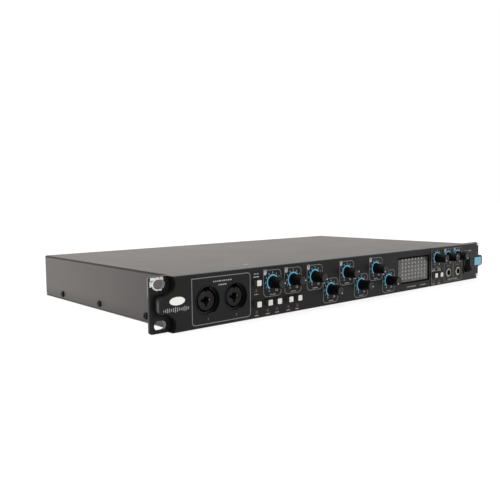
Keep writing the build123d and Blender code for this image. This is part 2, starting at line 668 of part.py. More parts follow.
def combo_contacts(plane):
    """The three contacts in the pin holes, the earth contact, on the right, nearest the face."""
    reach = PIN_CIRCLE_R + FIT
    with BuildPart(plane) as contacts:
        for x, y, sink in (
            (reach, 0, EARTH_SINK),
            (-reach, 0, CONTACT_SINK),
            (0, -reach, CONTACT_SINK),
        ):
            with Locations((x, y, -COMBO_RECESS - sink)):
                Cylinder(
                    CONTACT_R,
                    PIN_HOLE_DEPTH - sink,
                    align=(Align.CENTER, Align.CENTER, Align.MAX),
                )
    return contacts.part


front_combo_planes = [front_plane(x, z) for x, z in COMBO_PLACES]
rear_combo_planes = [rear_plane(x, z) for x, z in REAR_COMBO_PLACES]
write_group([combo_shell(p) for p in front_combo_planes], "front_combo_shells")
write_group([combo_insert(p) for p in front_combo_planes], "front_combo_inserts")
write_group([combo_shell(p) for p in rear_combo_planes], "rear_combo_shells")
write_group([combo_insert(p) for p in rear_combo_planes], "rear_combo_inserts")
write_group([combo_contacts(p) for p in front_combo_planes + rear_combo_planes], "combo_contacts")


# ================= jacks =================
def jack(plane, wall, barrel_r):
    """A quarter-inch jack: threaded barrel through the panel, body behind it."""
    with BuildPart(plane) as body:
        with Locations((0, 0, JACK_PROUD)):
            Cylinder(
                barrel_r,
                JACK_PROUD + wall + BARREL_ROOT,
                align=(Align.CENTER, Align.CENTER, Align.MAX),
            )
        with Locations((0, 0, -wall - 2 * FIT)):
            Box(
                JACK_BODY,
                JACK_BODY,
                JACK_DEPTH + JACK_BACK_T - wall,
                align=(Align.CENTER, Align.CENTER, Align.MAX),
            )
        with Locations((0, 0, JACK_PROUD)):
            Cylinder(
                JACK_R,
                JACK_PROUD + JACK_DEPTH,
                align=(Align.CENTER, Align.CENTER, Align.MAX),
                mode=Mode.SUBTRACT,
            )
    return body.part


def ring_nut(plane, radius, barrel_r, sides):
    """The nut that clamps a jack's barrel to its panel."""
    with BuildPart(plane) as nut:
        with BuildSketch(plane):
            if sides:
                RegularPolygon(radius, sides)
            else:
                Circle(radius)
            Circle(barrel_r + CLOSE_FIT, mode=Mode.SUBTRACT)
        extrude(amount=JACK_PROUD - 2 * FIT)
        outer = nut.faces().sort_by(Axis(plane.origin, plane.z_dir))[-1].outer_wire().edges()
        chamfer(outer, NUT_EDGE)
    return nut.part


headphone_planes = [front_plane(x, PHONES_JACK_Z) for x in PHONES_X]
line_out_planes = [rear_plane(x, z) for x, z in LINE_OUT_PLACES]
phones = [jack(p, WALL_T, PHONES_BARREL_R) for p in headphone_planes]
write_group(phones, "headphone_jacks")
phones_nuts = [ring_nut(p, PHONES_NUT_R, PHONES_BARREL_R, 0) for p in headphone_planes]
write_group(phones_nuts, "headphone_jack_nuts")
write_group([jack(p, SHEET, JACK_BARREL_R) for p in line_out_planes], "line_out_jacks")
line_out_nuts = [ring_nut(p, HEX_NUT_R, JACK_BARREL_R, 6) for p in line_out_planes]
write_group(line_out_nuts, "line_out_jack_nuts")


# ================= other rear connectors =================
def midi_socket(plane):
    """A five-pin round socket: ring, insert with its pin holes in an arc."""
    with BuildPart(plane) as socket:
        with Locations((0, 0, MIDI_PROUD)):
            Cylinder(MIDI_RING_R, MIDI_RING_LEN, align=(Align.CENTER, Align.CENTER, Align.MAX))
        with Locations((0, 0, -SHEET - 2 * FIT)):
            Box(
                MIDI_BODY, MIDI_BODY, MIDI_BODY_LEN, align=(Align.CENTER, Align.CENTER, Align.MAX)
            )
        with Locations((0, 0, MIDI_PROUD)):
            Cylinder(
                MIDI_R,
                MIDI_DEPTH,
                align=(Align.CENTER, Align.CENTER, Align.MAX),
                mode=Mode.SUBTRACT,
            )
        with Locations((0, 0, MIDI_PROUD - MIDI_DEPTH)):
            with PolarLocations(MIDI_PIN_CIRCLE_R, 5, 180, 180, endpoint=True):
                Cylinder(
                    MIDI_PIN_R,
                    MIDI_PIN_DEPTH,
                    align=(Align.CENTER, Align.CENTER, Align.MAX),
                    mode=Mode.SUBTRACT,
                )
    return socket.part


def rca_socket(plane):
    """A coaxial phono socket: metal sleeve standing out of a square body."""
    with BuildPart(plane) as socket:
        with Locations((0, 0, RCA_PROUD)):
            Cylinder(RCA_R, RCA_PROUD + 2 * SHEET, align=(Align.CENTER, Align.CENTER, Align.MAX))
        with Locations((0, 0, RCA_COLLAR_PROUD)):
            Cylinder(RCA_COLLAR_R, RCA_COLLAR_T, align=(Align.CENTER, Align.CENTER, Align.MAX))
        with Locations((0, 0, -SHEET - 2 * FIT)):
            Box(*RCA_BODY, align=(Align.CENTER, Align.CENTER, Align.MAX))
        with Locations((0, 0, RCA_PROUD)):
            Cylinder(
                RCA_HOLE_R,
                RCA_HOLE_DEPTH,
                align=(Align.CENTER, Align.CENTER, Align.MAX),
                mode=Mode.SUBTRACT,
            )
    return socket.part


def optical_port(x, z):
    """A square optical port whose mouth is closed by a sprung flap."""
    plane = rear_plane(x, z)
    with BuildPart(plane) as port:
        with Locations((0, 0, OPTICAL_PROUD)):
            Box(
                OPTICAL_BODY,
                OPTICAL_BODY,
                OPTICAL_DEPTH + OPTICAL_BACK_T,
                align=(Align.CENTER, Align.CENTER, Align.MAX),
            )
            Box(
                OPTICAL_MOUTH,
                OPTICAL_MOUTH,
                OPTICAL_DEPTH,
                align=(Align.CENTER, Align.CENTER, Align.MAX),
                mode=Mode.SUBTRACT,
            )
        # hollow above the mouth for the flap and its hinge
        with Locations((0, OPTICAL_MOUTH / 2, -HINGE_DEPTH + FLAP_POCKET_FRONT)):
            Box(
                OPTICAL_MOUTH,
                FLAP_POCKET_H,
                FLAP_POCKET_LEN,
                align=(Align.CENTER, Align.CENTER, Align.MAX),
                mode=Mode.SUBTRACT,
            )
        with Locations(Location((0, HINGE_Z, -HINGE_DEPTH), (0, 90, 0))):
            Cylinder(HINGE_R + CLOSE_FIT, HINGE_LEN + 2 * GAP, mode=Mode.SUBTRACT)
    return port.part


def optical_flap(x, z):
    """The sprung flap of an optical port, with its hinge pin."""
    with BuildPart(rear_plane(x, z)) as flap:
        with Locations((0, HINGE_Z, -HINGE_DEPTH)):
            Box(
                OPTICAL_MOUTH - 2 * GAP,
                OPTICAL_MOUTH - 2 * FIT,
                FLAP_T,
                align=(Align.CENTER, Align.MAX, Align.CENTER),
            )
        with Locations(Location((0, HINGE_Z, -HINGE_DEPTH), (0, 90, 0))):
            Cylinder(HINGE_R, HINGE_LEN)
    return flap.part


def data_port(x, z):
    """A serial data port: metal shell with a contact tongue inside."""
    with BuildPart(rear_plane(x, z)) as port:
        with Locations((0, 0, DATA_PROUD)):
            Box(*DATA_SHELL, align=(Align.CENTER, Align.CENTER, Align.MAX))
            Box(*DATA_MOUTH, align=(Align.CENTER, Align.CENTER, Align.MAX), mode=Mode.SUBTRACT)
        with Locations((0, 0, -DATA_TONGUE_SINK)):
            Box(*DATA_TONGUE, align=(Align.CENTER, Align.CENTER, Align.MAX))
    return port.part


write_group([midi_socket(rear_plane(x, z)) for x, z in MIDI_PLACES], "midi_sockets")
write_group([rca_socket(rear_plane(x, z)) for x, z in RCA_PLACES], "rca_sockets")
write_group([optical_port(x, z) for x, z in OPTICAL_PLACES], "optical_ports")
write_node(optical_flap(*OPTICAL_PLACES[0]), "optical_flap_1")
write_node(optical_flap(*OPTICAL_PLACES[1]), "optical_flap_2")
write_group([data_port(x, z) for x, z in DATA_PLACES], "data_ports")

with BuildPart(rear_plane(*INLET_CENTRE)) as mains_inlet:
    with BuildSketch(rear_plane(*INLET_CENTRE)):
        RectangleRounded(*INLET_FLANGE, INLET_FLANGE_R)
        with Locations(*[(INLET_CENTRE[0] - x, 0) for x, z in INLET_SCREW_PLACES]):
            Circle(SCREW_R + SCREW_CLEAR, mode=Mode.SUBTRACT)
    extrude(amount=INLET_FLANGE_T)
    Box(*INLET_BODY, align=(Align.CENTER, Align.CENTER, Align.MAX))
    # the mouth, with its two cut-off corners at the top
    with BuildSketch(rear_plane(*INLET_CENTRE, BODY_BACK + INLET_FLANGE_T)):
        with BuildLine():
            half_w = INLET_MOUTH[0] / 2
            half_h = INLET_MOUTH[1] / 2
            Polyline(
                (-half_w, -half_h),
                (half_w, -half_h),
                (half_w, half_h - INLET_MOUTH_CUT),
                (half_w - INLET_MOUTH_CUT, half_h),
                (INLET_MOUTH_CUT - half_w, half_h),
                (-half_w, half_h - INLET_MOUTH_CUT),
                close=True,
            )
        make_face()
    extrude(amount=-INLET_DEPTH, mode=Mode.SUBTRACT)
write_node(mains_inlet.part, "mains_inlet")

with BuildPart() as inlet_blades:
    with BuildSketch(rear_plane(*INLET_CENTRE, BODY_BACK + INLET_FLANGE_T - BLADE_TIP)):
        with Locations(*BLADE_PLACES):
            Rectangle(*BLADE_SIZE)
    extrude(amount=-(INLET_DEPTH - BLADE_TIP))
write_node(inlet_blades.part, "inlet_blades")


# ================= mains rocker =================
pivot = Plane(origin=(SWITCH_CENTRE[0], PIVOT_Y, SWITCH_CENTRE[1]), x_dir=(0, 0, 1), z_dir=(1, 0, 0))

with BuildPart() as rocker_housing:
    with BuildSketch(front_plane(*SWITCH_CENTRE)):
        RectangleRounded(*SWITCH_BEZEL, BEZEL_CORNER_R)
    extrude(amount=BEZEL_T)
    fillet(rocker_housing.faces().sort_by(Axis.Y)[0].edges(), BEZEL_EDGE_R)
    with BuildSketch(front_plane(*SWITCH_CENTRE)):
        Rectangle(*SWITCH_BODY)
    extrude(amount=-ROCKER_DEPTH)
    with BuildSketch(front_plane(*SWITCH_CENTRE, FACE - BEZEL_T)):
        Rectangle(ROCKER_W + 2 * GAP, 2 * (ROCKER_R + GAP))
    extrude(amount=-ROCKER_WELL, mode=Mode.SUBTRACT)
    with BuildSketch(pivot):
        Circle(ROCKER_PIN_R + CLOSE_FIT)
    extrude(amount=SWITCH_BODY[0] / 2 - FIT, both=True, mode=Mode.SUBTRACT)
write_node(rocker_housing.part, "rocker_housing")

with BuildPart() as power_rocker:
    # a disc about the pivot, its front cut to two flats that meet in a shallow V
    lean = radians(ROCKER_SWING / 2)  # at rest the top is pressed, so the lower half stands out

    def tilt(up, out):
        """A point of the rocker's side profile, turned to where it rests."""
        return (up * cos(lean) + out * sin(lean), out * cos(lean) - up * sin(lean))

    reach = 1.5 * ROCKER_R
    with BuildSketch(pivot):
        Circle(ROCKER_R)
        with BuildLine():
            Polyline(
                tilt(-reach, ROCKER_RISE + reach * tan(lean)),
                tilt(0, ROCKER_RISE),
                tilt(reach, ROCKER_RISE + reach * tan(lean)),
                tilt(reach, 2 * reach),
                tilt(-reach, 2 * reach),
                close=True,
            )
        make_face(mode=Mode.SUBTRACT)
    extrude(amount=ROCKER_W / 2, both=True)
    with BuildSketch(pivot):
        Circle(ROCKER_PIN_R)
    extrude(amount=SWITCH_BODY[0] / 2 - GAP, both=True)
write_node(power_rocker.part, "power_rocker")


# ================= boards and supply =================
with BuildPart() as control_pcb:
    with BuildSketch(Plane.XZ.offset(-CONTROL_PCB_Y)):
        with Locations((sum(CONTROL_PCB_X) / 2, 0)):
            Rectangle(CONTROL_PCB_X[1] - CONTROL_PCB_X[0], CONTROL_PCB_H)
        with Locations(*[(x, PHONES_JACK_Z) for x in PHONES_X]):
            Rectangle(JACK_BODY + 2 * GAP, JACK_BODY + 2 * GAP, mode=Mode.SUBTRACT)
        with Locations(SWITCH_CENTRE):
            Rectangle(SWITCH_CUT[0] + 2 * GAP, SWITCH_CUT[1] + 2 * GAP, mode=Mode.SUBTRACT)
    extrude(amount=-PCB_T)
write_node(control_pcb.part, "control_pcb")


def board(limits, label):
    """A flat circuit board on its standoffs."""
    x0, x1, y0, y1 = limits
    with BuildPart() as pcb:
        with BuildSketch(Plane.XY.offset(MAIN_PCB_Z)):
            with Locations(((x0 + x1) / 2, (y0 + y1) / 2)):
                Rectangle(x1 - x0, y1 - y0)
            with Locations(*standoff_places(limits)):
                Circle(STANDOFF_PIN_R + FIT, mode=Mode.SUBTRACT)
        extrude(amount=PCB_T)
    write_node(pcb.part, label)


def standoff_places(limits):
    """The four corner places of a board's standoffs."""
    x0, x1, y0, y1 = limits
    return [
        (x, y)
        for x in (x0 + STANDOFF_INSET, x1 - STANDOFF_INSET)
        for y in (y0 + STANDOFF_INSET, y1 - STANDOFF_REAR_INSET)
    ]


board(MAIN_PCB, "main_pcb")
board(PSU_PCB, "psu_board")

all_standoffs = standoff_places(MAIN_PCB) + standoff_places(PSU_PCB)
with BuildPart() as pcb_standoffs:
    with BuildSketch(Plane.XY.offset(FLOOR)):
        with Locations(*all_standoffs):
            RegularPolygon(STANDOFF_HEX_R, 6)
    extrude(amount=MAIN_PCB_Z - FLOOR)
    with BuildSketch(Plane.XY.offset(MAIN_PCB_Z)):
        with Locations(*all_standoffs):
            Circle(STANDOFF_PIN_R)
    extrude(amount=STANDOFF_PIN_H)
write_node(pcb_standoffs.part, "pcb_standoffs")

PCB_TOP = MAIN_PCB_Z + PCB_T
with BuildPart() as psu_transformer:
    # laminated core with the longer, lower winding through it
    for length, width, height in (TRANSFORMER_CORE, TRANSFORMER_COIL):
        with BuildSketch(Plane.XY.offset(PCB_TOP)):
            with Locations(TRANSFORMER_CENTRE):
                Rectangle(length, width)
        extrude(amount=height)
    fillet(psu_transformer.edges().filter_by(Axis.Z), TRANSFORMER_R)
write_node(psu_transformer.part, "psu_transformer")

with BuildPart() as psu_capacitors:
    with BuildSketch(Plane.XY.offset(PCB_TOP)):
        with Locations(*CAPACITOR_PLACES):
            Circle(CAPACITOR_R)
    extrude(amount=CAPACITOR_H)
write_node(psu_capacitors.part, "psu_capacitors")

with BuildPart() as main_chips:
    with BuildSketch(Plane.XY.offset(PCB_TOP)):
        with Locations(PROCESSOR_PLACE):
            Rectangle(PROCESSOR_SIZE, PROCESSOR_SIZE)
        with Locations(*AMPLIFIER_PLACES):
            Rectangle(*AMPLIFIER_SIZE)
        with Locations(*CONVERTER_PLACES):
            Rectangle(CONVERTER_SIZE, CONVERTER_SIZE)
    extrude(amount=CHIP_T)
write_node(main_chips.part, "main_chips")

with BuildPart() as ribbon_cable:
    # flat cable from the control board down to the main board
    with BuildSketch(Plane.YZ.offset(RIBBON_X[0])):
        with BuildLine():
            start_y = CONTROL_PCB_Y + PCB_T
            foot, end = RIBBON_FOOT_Y
            Polyline(
                (start_y, RIBBON_Z),
                (RIBBON_BEND_Y, RIBBON_Z),
                (foot, PCB_TOP + RIBBON_FOLD_H),
                (foot, PCB_TOP),
                (end, PCB_TOP),
                (end, PCB_TOP + CHIP_T),
                (foot + 2 * GAP, PCB_TOP + RIBBON_FOLD_H + RIBBON_T),
                (RIBBON_BEND_Y + GAP, RIBBON_Z + RIBBON_T),
                (start_y, RIBBON_Z + RIBBON_T),
                close=True,
            )
        make_face()
    extrude(amount=RIBBON_X[1] - RIBBON_X[0])
write_node(ribbon_cable.part, "ribbon_cable")
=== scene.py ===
import json
import math
import random

import bmesh
import bpy
from mathutils import Matrix, Vector


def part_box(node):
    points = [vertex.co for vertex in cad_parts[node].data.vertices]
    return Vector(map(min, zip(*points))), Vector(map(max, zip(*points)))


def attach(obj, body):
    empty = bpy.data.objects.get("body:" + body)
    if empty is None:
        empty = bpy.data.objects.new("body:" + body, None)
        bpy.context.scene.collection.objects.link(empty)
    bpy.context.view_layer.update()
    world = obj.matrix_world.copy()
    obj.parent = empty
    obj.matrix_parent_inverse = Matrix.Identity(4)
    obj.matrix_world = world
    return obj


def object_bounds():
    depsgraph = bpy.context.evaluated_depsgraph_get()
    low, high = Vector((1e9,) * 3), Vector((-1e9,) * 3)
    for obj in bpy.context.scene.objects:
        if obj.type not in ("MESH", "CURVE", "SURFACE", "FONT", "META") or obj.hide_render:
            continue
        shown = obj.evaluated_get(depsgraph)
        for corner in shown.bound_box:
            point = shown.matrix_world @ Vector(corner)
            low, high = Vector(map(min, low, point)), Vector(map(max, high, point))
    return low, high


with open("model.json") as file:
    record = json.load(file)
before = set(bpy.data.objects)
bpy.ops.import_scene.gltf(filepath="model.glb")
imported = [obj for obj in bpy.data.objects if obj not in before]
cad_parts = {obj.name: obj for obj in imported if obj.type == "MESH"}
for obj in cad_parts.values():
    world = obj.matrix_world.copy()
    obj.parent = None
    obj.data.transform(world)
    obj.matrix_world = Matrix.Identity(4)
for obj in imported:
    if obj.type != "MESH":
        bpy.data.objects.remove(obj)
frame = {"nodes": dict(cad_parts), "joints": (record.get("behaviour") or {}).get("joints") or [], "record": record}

# ---------------------------------------------------------------- measures, metres
MM = 0.001
cad_box = [list(corner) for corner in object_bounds()]
nodes = frame["nodes"]
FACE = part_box("front_panel")[0].y  # front of the fascia
FLOOR_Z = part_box("chassis_base")[0].z
EAR_FRONT = -3.0 * MM  # front of the ears; their rear is at 0
EAR_END = cad_box[0][0]  # outer end of the left ear
LOBE_END = -232.0 * MM  # just inside the left lobe's outer end
SCOOP_END = -200.0 * MM  # just past the left scoops
SECTION_X = 123.6 * MM  # where the monitor section starts
GROOVE = 2.4 * MM  # width of the black groove beside it
INK = 0.05 * MM  # thickness of printed ink
LINE = 0.5 * MM  # width of a printed outline
lens_low, lens_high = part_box("meter_lens")
LIP = 1.5 * MM  # how far in from the lens's top and right edges its painted shadows are placed
WINDOW_TOP = lens_high.z - LIP
WINDOW_RIGHT = lens_high.x - LIP
# the frame round the lens, from its lower left to its upper right corner
METER_FRAME = (lens_low - Vector((2.6, 0, 1.8)) * MM, lens_high + Vector((2.6, 0, 2.2)) * MM)

joint_of = {joint["child"]: joint for joint in frame["joints"]}
GAIN_KNOBS = [f"gain_knob_{i}" for i in range(1, 9)]
SMALL_KNOBS = ["monitor_knob", "headphone_knob_1", "headphone_knob_2"]
BUTTONS = [f"button_{i}" for i in range(1, 9)]


def centre(node):
    """Middle of a CAD node's box."""
    low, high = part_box(node)
    return (low + high) / 2


# ---------------------------------------------------------------- materials
class Look:
    """One node material: a Principled shader with noise-driven colour, roughness and bump."""

    def __init__(self, name, roughness=0.5, metallic=0.0, specular=0.5, coat=0.0):
        self.material = bpy.data.materials.new(name)
        self.material.use_nodes = True
        self.tree = self.material.node_tree
        self.shader = self.tree.nodes["Principled BSDF"]
        self.shader.inputs["Roughness"].default_value = roughness
        self.shader.inputs["Metallic"].default_value = metallic
        self.shader.inputs["Specular IOR Level"].default_value = specular
        self.shader.inputs["Coat Weight"].default_value = coat
        self.place = self.tree.nodes.new("ShaderNodeTexCoord").outputs["Object"]
        self.height = None

    def link(self, source, target):
        self.tree.links.new(source, target)

    def noise(self, scale, detail=3.0, rough=0.55, stretch=(1, 1, 1)):
        """Noise at a scale in cells per metre; stretch squeezes it along an axis for grain."""
        squeezed = self.tree.nodes.new("ShaderNodeVectorMath")
        squeezed.operation = "MULTIPLY"
        squeezed.inputs[1].default_value = stretch
        self.link(self.place, squeezed.inputs[0])
        texture = self.tree.nodes.new("ShaderNodeTexNoise")
        texture.inputs["Scale"].default_value = scale
        texture.inputs["Detail"].default_value = detail
        texture.inputs["Roughness"].default_value = rough
        self.link(squeezed.outputs[0], texture.inputs["Vector"])
        return texture.outputs["Fac"]

    def math(self, operation, a, b=None, c=None):
        """A maths node whose inputs are numbers or sockets."""
        node = self.tree.nodes.new("ShaderNodeMath")
        node.operation = operation
        for socket, value in zip(node.inputs, (a, b, c)):
            if value is None:
                continue
            if isinstance(value, (int, float)):
                socket.default_value = value
            else:
                self.link(value, socket)
        return node.outputs[0]

    def plus(self, a, b):
        return self.math("ADD", a, b)

    def unsigned(self, value):
        """A value without its sign."""
        return self.math("ABSOLUTE", value)

    def over(self, value, limit):
        """1 where a value is above a limit."""
        return self.math("GREATER_THAN", value, limit)

    def under(self, value, limit):
        """1 where a value is below a limit."""
        return self.math("LESS_THAN", value, limit)

    def inside(self, value, low, high):
        """1 where a value lies between two numbers."""
        return self.both(self.over(value, low), self.under(value, high))

    def both(self, first, *others):
        """The product of masks, or of a mask and a strength."""
        for other in others:
            first = self.math("MULTIPLY", first, other)
        return first

    def either(self, first, *others):
        """The strongest of several masks."""
        for other in others:
            first = self.math("MAXIMUM", first, other)
        return first

    def ragged(self, scale, reach, rough=0.55):
        """An uneven offset about 0, well within reach each way, that breaks up a mask's edge."""
        return self.both(self.math("SUBTRACT", self.noise(scale, 3.0, rough), 0.5), reach)

    def span(self, value, low, high, to_low=0.0, to_high=1.0):
        """Maps low..high smoothly to to_low..to_high."""
        node = self.tree.nodes.new("ShaderNodeMapRange")
        node.interpolation_type = "SMOOTHSTEP"
        numbers = {"From Min": low, "From Max": high, "To Min": to_low, "To Max": to_high}
        for label, number in numbers.items():
            node.inputs[label].default_value = number
        self.link(value, node.inputs["Value"])
        return node.outputs["Result"]

    def blend(self, factor, a, b):
        """Mixes two colours, each a triple or a socket."""
        node = self.tree.nodes.new("ShaderNodeMix")
        node.data_type = "RGBA"
        self.link(factor, node.inputs["Factor"])
        for socket, value in zip((node.inputs[6], node.inputs[7]), (a, b)):
            if isinstance(value, tuple):
                socket.default_value = (*value, 1.0)
            else:
                self.link(value, socket)
        return node.outputs[2]

    def set(self, label, source):
        """Drives one of the shader's inputs."""
        self.link(source, self.shader.inputs[label])

    def color(self, source):
        self.set("Base Color", source)

    def bump(self, height, distance, strength=0.6):
        """Adds a bump layer, its distance in metres."""
        node = self.tree.nodes.new("ShaderNodeBump")
        node.inputs["Strength"].default_value = strength
        node.inputs["Distance"].default_value = distance
        self.link(height, node.inputs["Height"])
        if self.height:
            self.link(self.height, node.inputs["Normal"])
        self.height = node.outputs["Normal"]
        self.link(self.height, self.shader.inputs["Normal"])

    def soft_edges(self, radius):
        """Lets light catch the sheet's sharp edges as a small round."""
        node = self.tree.nodes.new("ShaderNodeBevel")
        node.samples = 4
        node.inputs["Radius"].default_value = radius
        self.height = node.outputs["Normal"]
        self.link(self.height, self.shader.inputs["Normal"])

    def axes(self):
        """The x, y and z of the point shaded, in the row frame."""
        split = self.tree.nodes.new("ShaderNodeSeparateXYZ")
        self.link(self.place, split.inputs[0])
        return split.outputs

    def facing(self):
        """The x, y and z of the surface's normal."""
        split = self.tree.nodes.new("ShaderNodeSeparateXYZ")
        self.link(self.tree.nodes.new("ShaderNodeNewGeometry").outputs["Normal"], split.inputs[0])
        return split.outputs


def scaled(color, factor):
    return tuple(c * factor for c in color)


def plastic(name, color, roughness, grain=2600.0, depth=0.02 * MM, specular=0.2):
    """Moulded plastic: fine spark-eroded grain, slight tone drift and handling gloss."""
    look = Look(name, roughness, specular=specular)
    drift = look.span(look.noise(90.0, 2.0), 0.35, 0.65)
    look.color(look.blend(drift, scaled(color, 0.86), scaled(color, 1.14)))
    rub = look.span(look.noise(260.0, 4.0), 0.4, 0.75, roughness - 0.05, roughness + 0.09)
    look.set("Roughness", rub)
    look.bump(look.noise(grain, 2.0, 0.7), depth)
    return look.material


def coated_steel(name, color, roughness, grain=1500.0, depth=0.035 * MM, dust_and_sheen=0.04, top=None):
    """Powder coat on sheet steel: fine texture, faint dust, long scuffs; top is the cover's painted-lit colour for
    its upward face.
    """
    look = Look(name, roughness, specular=0.25)
    look.soft_edges(0.35 * MM)
    speckle = look.span(look.noise(grain * 1.3, 2.0), 0.3, 0.7)
    base = look.blend(speckle, scaled(color, 0.8), scaled(color, 1.2))
    haze = look.span(look.noise(14.0, 5.0, 0.6), 0.45, 0.8, 0.0, 0.25)
    base = look.blend(haze, base, tuple(c + dust_and_sheen for c in color))
    scuffs = look.span(look.noise(40.0, 4.0, 0.6, (0.25, 3.0, 1.0)), 0.66, 0.74, 0.0, 0.35)
    base = look.blend(scuffs, base, tuple(c + dust_and_sheen * 1.3 for c in color))
    if top:
        lit = painted_lit_top(look, top, haze, scuffs)
        # upward faces take the painted-lit top colour, the others the sides' painted shade
        up = look.span(look.facing()[2], 0.9, 0.995)
        base = look.blend(up, painted_side_shade(look, base, color), lit)
    flecks = look.span(look.noise(420.0, 1.0), 0.79, 0.81, 0.0, 0.8)
    look.color(look.blend(flecks, base, (0.32, 0.31, 0.29)))
    tone = look.noise(22.0, 4.0)
    look.set("Roughness", look.span(tone, 0.3, 0.7, roughness - 0.015, roughness + 0.015))
    look.bump(look.noise(grain, 3.0, 0.6), depth, 0.8)
    return look.material


def painted_side_shade(look, base, color):
    """The cover's sides with painted shade: darker towards the foot of the wall and the ears, and a painted shadow
    along the fold at the top.
    """
    _, y, z = look.axes()
    # painted shade: darker low down, towards the front, and in a line along the fold
    shade_low_down = look.span(z, -9.0 * MM, -20.0 * MM, 0.0, 0.34)
    base = look.blend(shade_low_down, base, scaled(color, 0.25))
    shade_towards_front = look.span(y, 0.0, 225.0 * MM, 0.47, 0.0)
    base = look.blend(shade_towards_front, base, scaled(color, 0.25))
    fold_shadow = look.span(z, 19.0 * MM, 19.8 * MM, 0.0, 0.97)
    return look.blend(fold_shadow, base, scaled(color, 0.06))


def painted_lit_top(look, top, haze, scuffs):
    """The cover's top in its painted-lit colour: gritty, with painted shade darker towards the front, one scratch,
    and a rubbed stretch of front edge.
    """
    x, y, _ = look.axes()
    grit = look.span(look.noise(230.0, 5.0, 0.7), 0.38, 0.62)
    lit = look.blend(grit, scaled(top, 0.86), scaled(top, 1.1))
    # painted shade: the top darker towards the front
    front_shade = look.span(y, 0.0, 190.0 * MM, 0.19, 0.0)
    lit = look.blend(front_shade, lit, scaled(top, 0.2))
    lit = look.blend(haze, lit, scaled(top, 1.04))
    lit = look.blend(scuffs, lit, scaled(top, 1.1))
    ragged = look.ragged(500.0, 3.0 * MM)
    scratch_x = look.inside(look.plus(x, ragged), -130.0 * MM, -124.0 * MM)
    scratch_y = look.inside(look.plus(y, look.both(ragged, 0.9)), 18.4 * MM, 19.4 * MM)
    lit = look.blend(look.both(scratch_x, scratch_y, 0.85), lit, (0.6, 0.59, 0.57))
    from_left = look.span(x, -178.0 * MM, -160.0 * MM)
    from_right = look.span(x, -128.0 * MM, -142.0 * MM)
    near = look.span(look.plus(y, ragged), 6.0 * MM, 2.0 * MM, 0.0, 0.7)
    return look.blend(look.both(from_left, from_right, near), lit, scaled(top, 2.2))


def bare_metal(name, color, roughness, stretch=(1, 1, 1), grain=900.0):
    """Plated or bare metal with fine turning or brushing marks and dull patches."""
    look = Look(name, roughness, metallic=1.0)
    tarnish = look.span(look.noise(140.0, 4.0), 0.4, 0.8)
    look.color(look.blend(tarnish, color, scaled(color, 0.72)))
    marks = look.noise(grain, 2.0, 0.6, stretch)
    look.set("Roughness", look.span(marks, 0.3, 0.7, roughness - 0.07, roughness + 0.1))
    look.bump(marks, 0.01 * MM, 0.4)
    return look.material


def ear_wear(look, x, z):
    """Where the ears are bare: round the slots, about the upper left slot, and at the right ear's corners."""
    slot = frame["record"]["mounts"][0]["dims"]
    half_x = slot["spacing_x_mm"] / 2 * MM
    half_z = slot["spacing_y_mm"] / 2 * MM
    slot_r = slot["hole_r_mm"] * MM
    straight = slot["slot_length_mm"] / 2 * MM - slot_r
    # how far a point lies outside the nearest slot
    from_x = look.math("SUBTRACT", look.unsigned(x), half_x)
    across = look.math("MAXIMUM", look.math("SUBTRACT", look.unsigned(from_x), straight), 0.0)
    rise = look.math("SUBTRACT", look.unsigned(z), half_z)
    length = look.math("SQRT", look.plus(look.math("POWER", across, 2), look.math("POWER", rise, 2)))
    ragged = look.ragged(620.0, 1.6 * MM, 0.6)
    edge = look.plus(look.math("SUBTRACT", length, slot_r), ragged)
    # the upper left slot has seen the most screws, and is bare round its outer side
    most = look.both(look.under(x, 0.0), look.over(z, 0.0), look.over(from_x, -2.4 * MM))
    ring = look.under(edge, look.math("MULTIPLY_ADD", most, 1.3 * MM, -0.1 * MM))
    # above it the ear is rubbed bare up to its top edge, and beside it along its end
    above = look.inside(look.plus(z, look.both(ragged, 0.5)), 18.9 * MM, 21.5 * MM)
    above = look.both(above, look.inside(look.plus(x, ragged), -240.4 * MM, -228.6 * MM))
    beside = look.inside(look.plus(z, ragged), 14.2 * MM, 18.4 * MM)
    beside = look.both(beside, look.inside(x, -240.9 * MM, -236.4 * MM))
    # the right ear is chipped at its outer corners
    coarse = look.both(ragged, 2.2)
    outer = look.over(look.plus(x, coarse), 235.6 * MM)
    corners = look.both(outer, look.over(look.unsigned(look.plus(z, coarse)), 18.0 * MM))
    chips = look.under(look.noise(900.0, 2.0), 0.63)
    return look.both(look.either(ring, above, beside, corners), chips)


def groove_and_painted_frame_shade(look, x, y, z):
    """The dark groove beside the monitor section, and painted shade over the meter's frame down to its floor."""
    groove = look.inside(x, SECTION_X - GROOVE, SECTION_X)
    low, high = METER_FRAME
    framed = look.both(look.inside(x, low.x, high.x), look.inside(z, low.z, high.z))
    return look.either(groove, look.both(framed, look.over(y, FACE + 0.5 * MM)))


def ear_corner_shadow(look, x, z):
    """The left end beside the lobe, where painted shadow falls on the ear."""
    level = look.span(look.unsigned(look.plus(z, 0.5 * MM)), 9.5 * MM, 7.0 * MM, 0.0, 0.8)
    return look.both(look.under(x, -222.0 * MM), look.span(x, -240.5 * MM, -236.5 * MM), level)


def painted_lobe_highlight(look, x, y, z, left_wall):
    """The middle of the left lobe's outer end, with a painted highlight."""
    end = look.both(look.under(x, LOBE_END), left_wall)
    middle = look.span(look.unsigned(look.plus(z, 1.0 * MM)), 7.5 * MM, 2.5 * MM)
    depth = look.span(look.unsigned(look.math("SUBTRACT", y, FACE + 3.4 * MM)), 2.4 * MM, 0.4 * MM)
    return look.both(end, middle, depth)


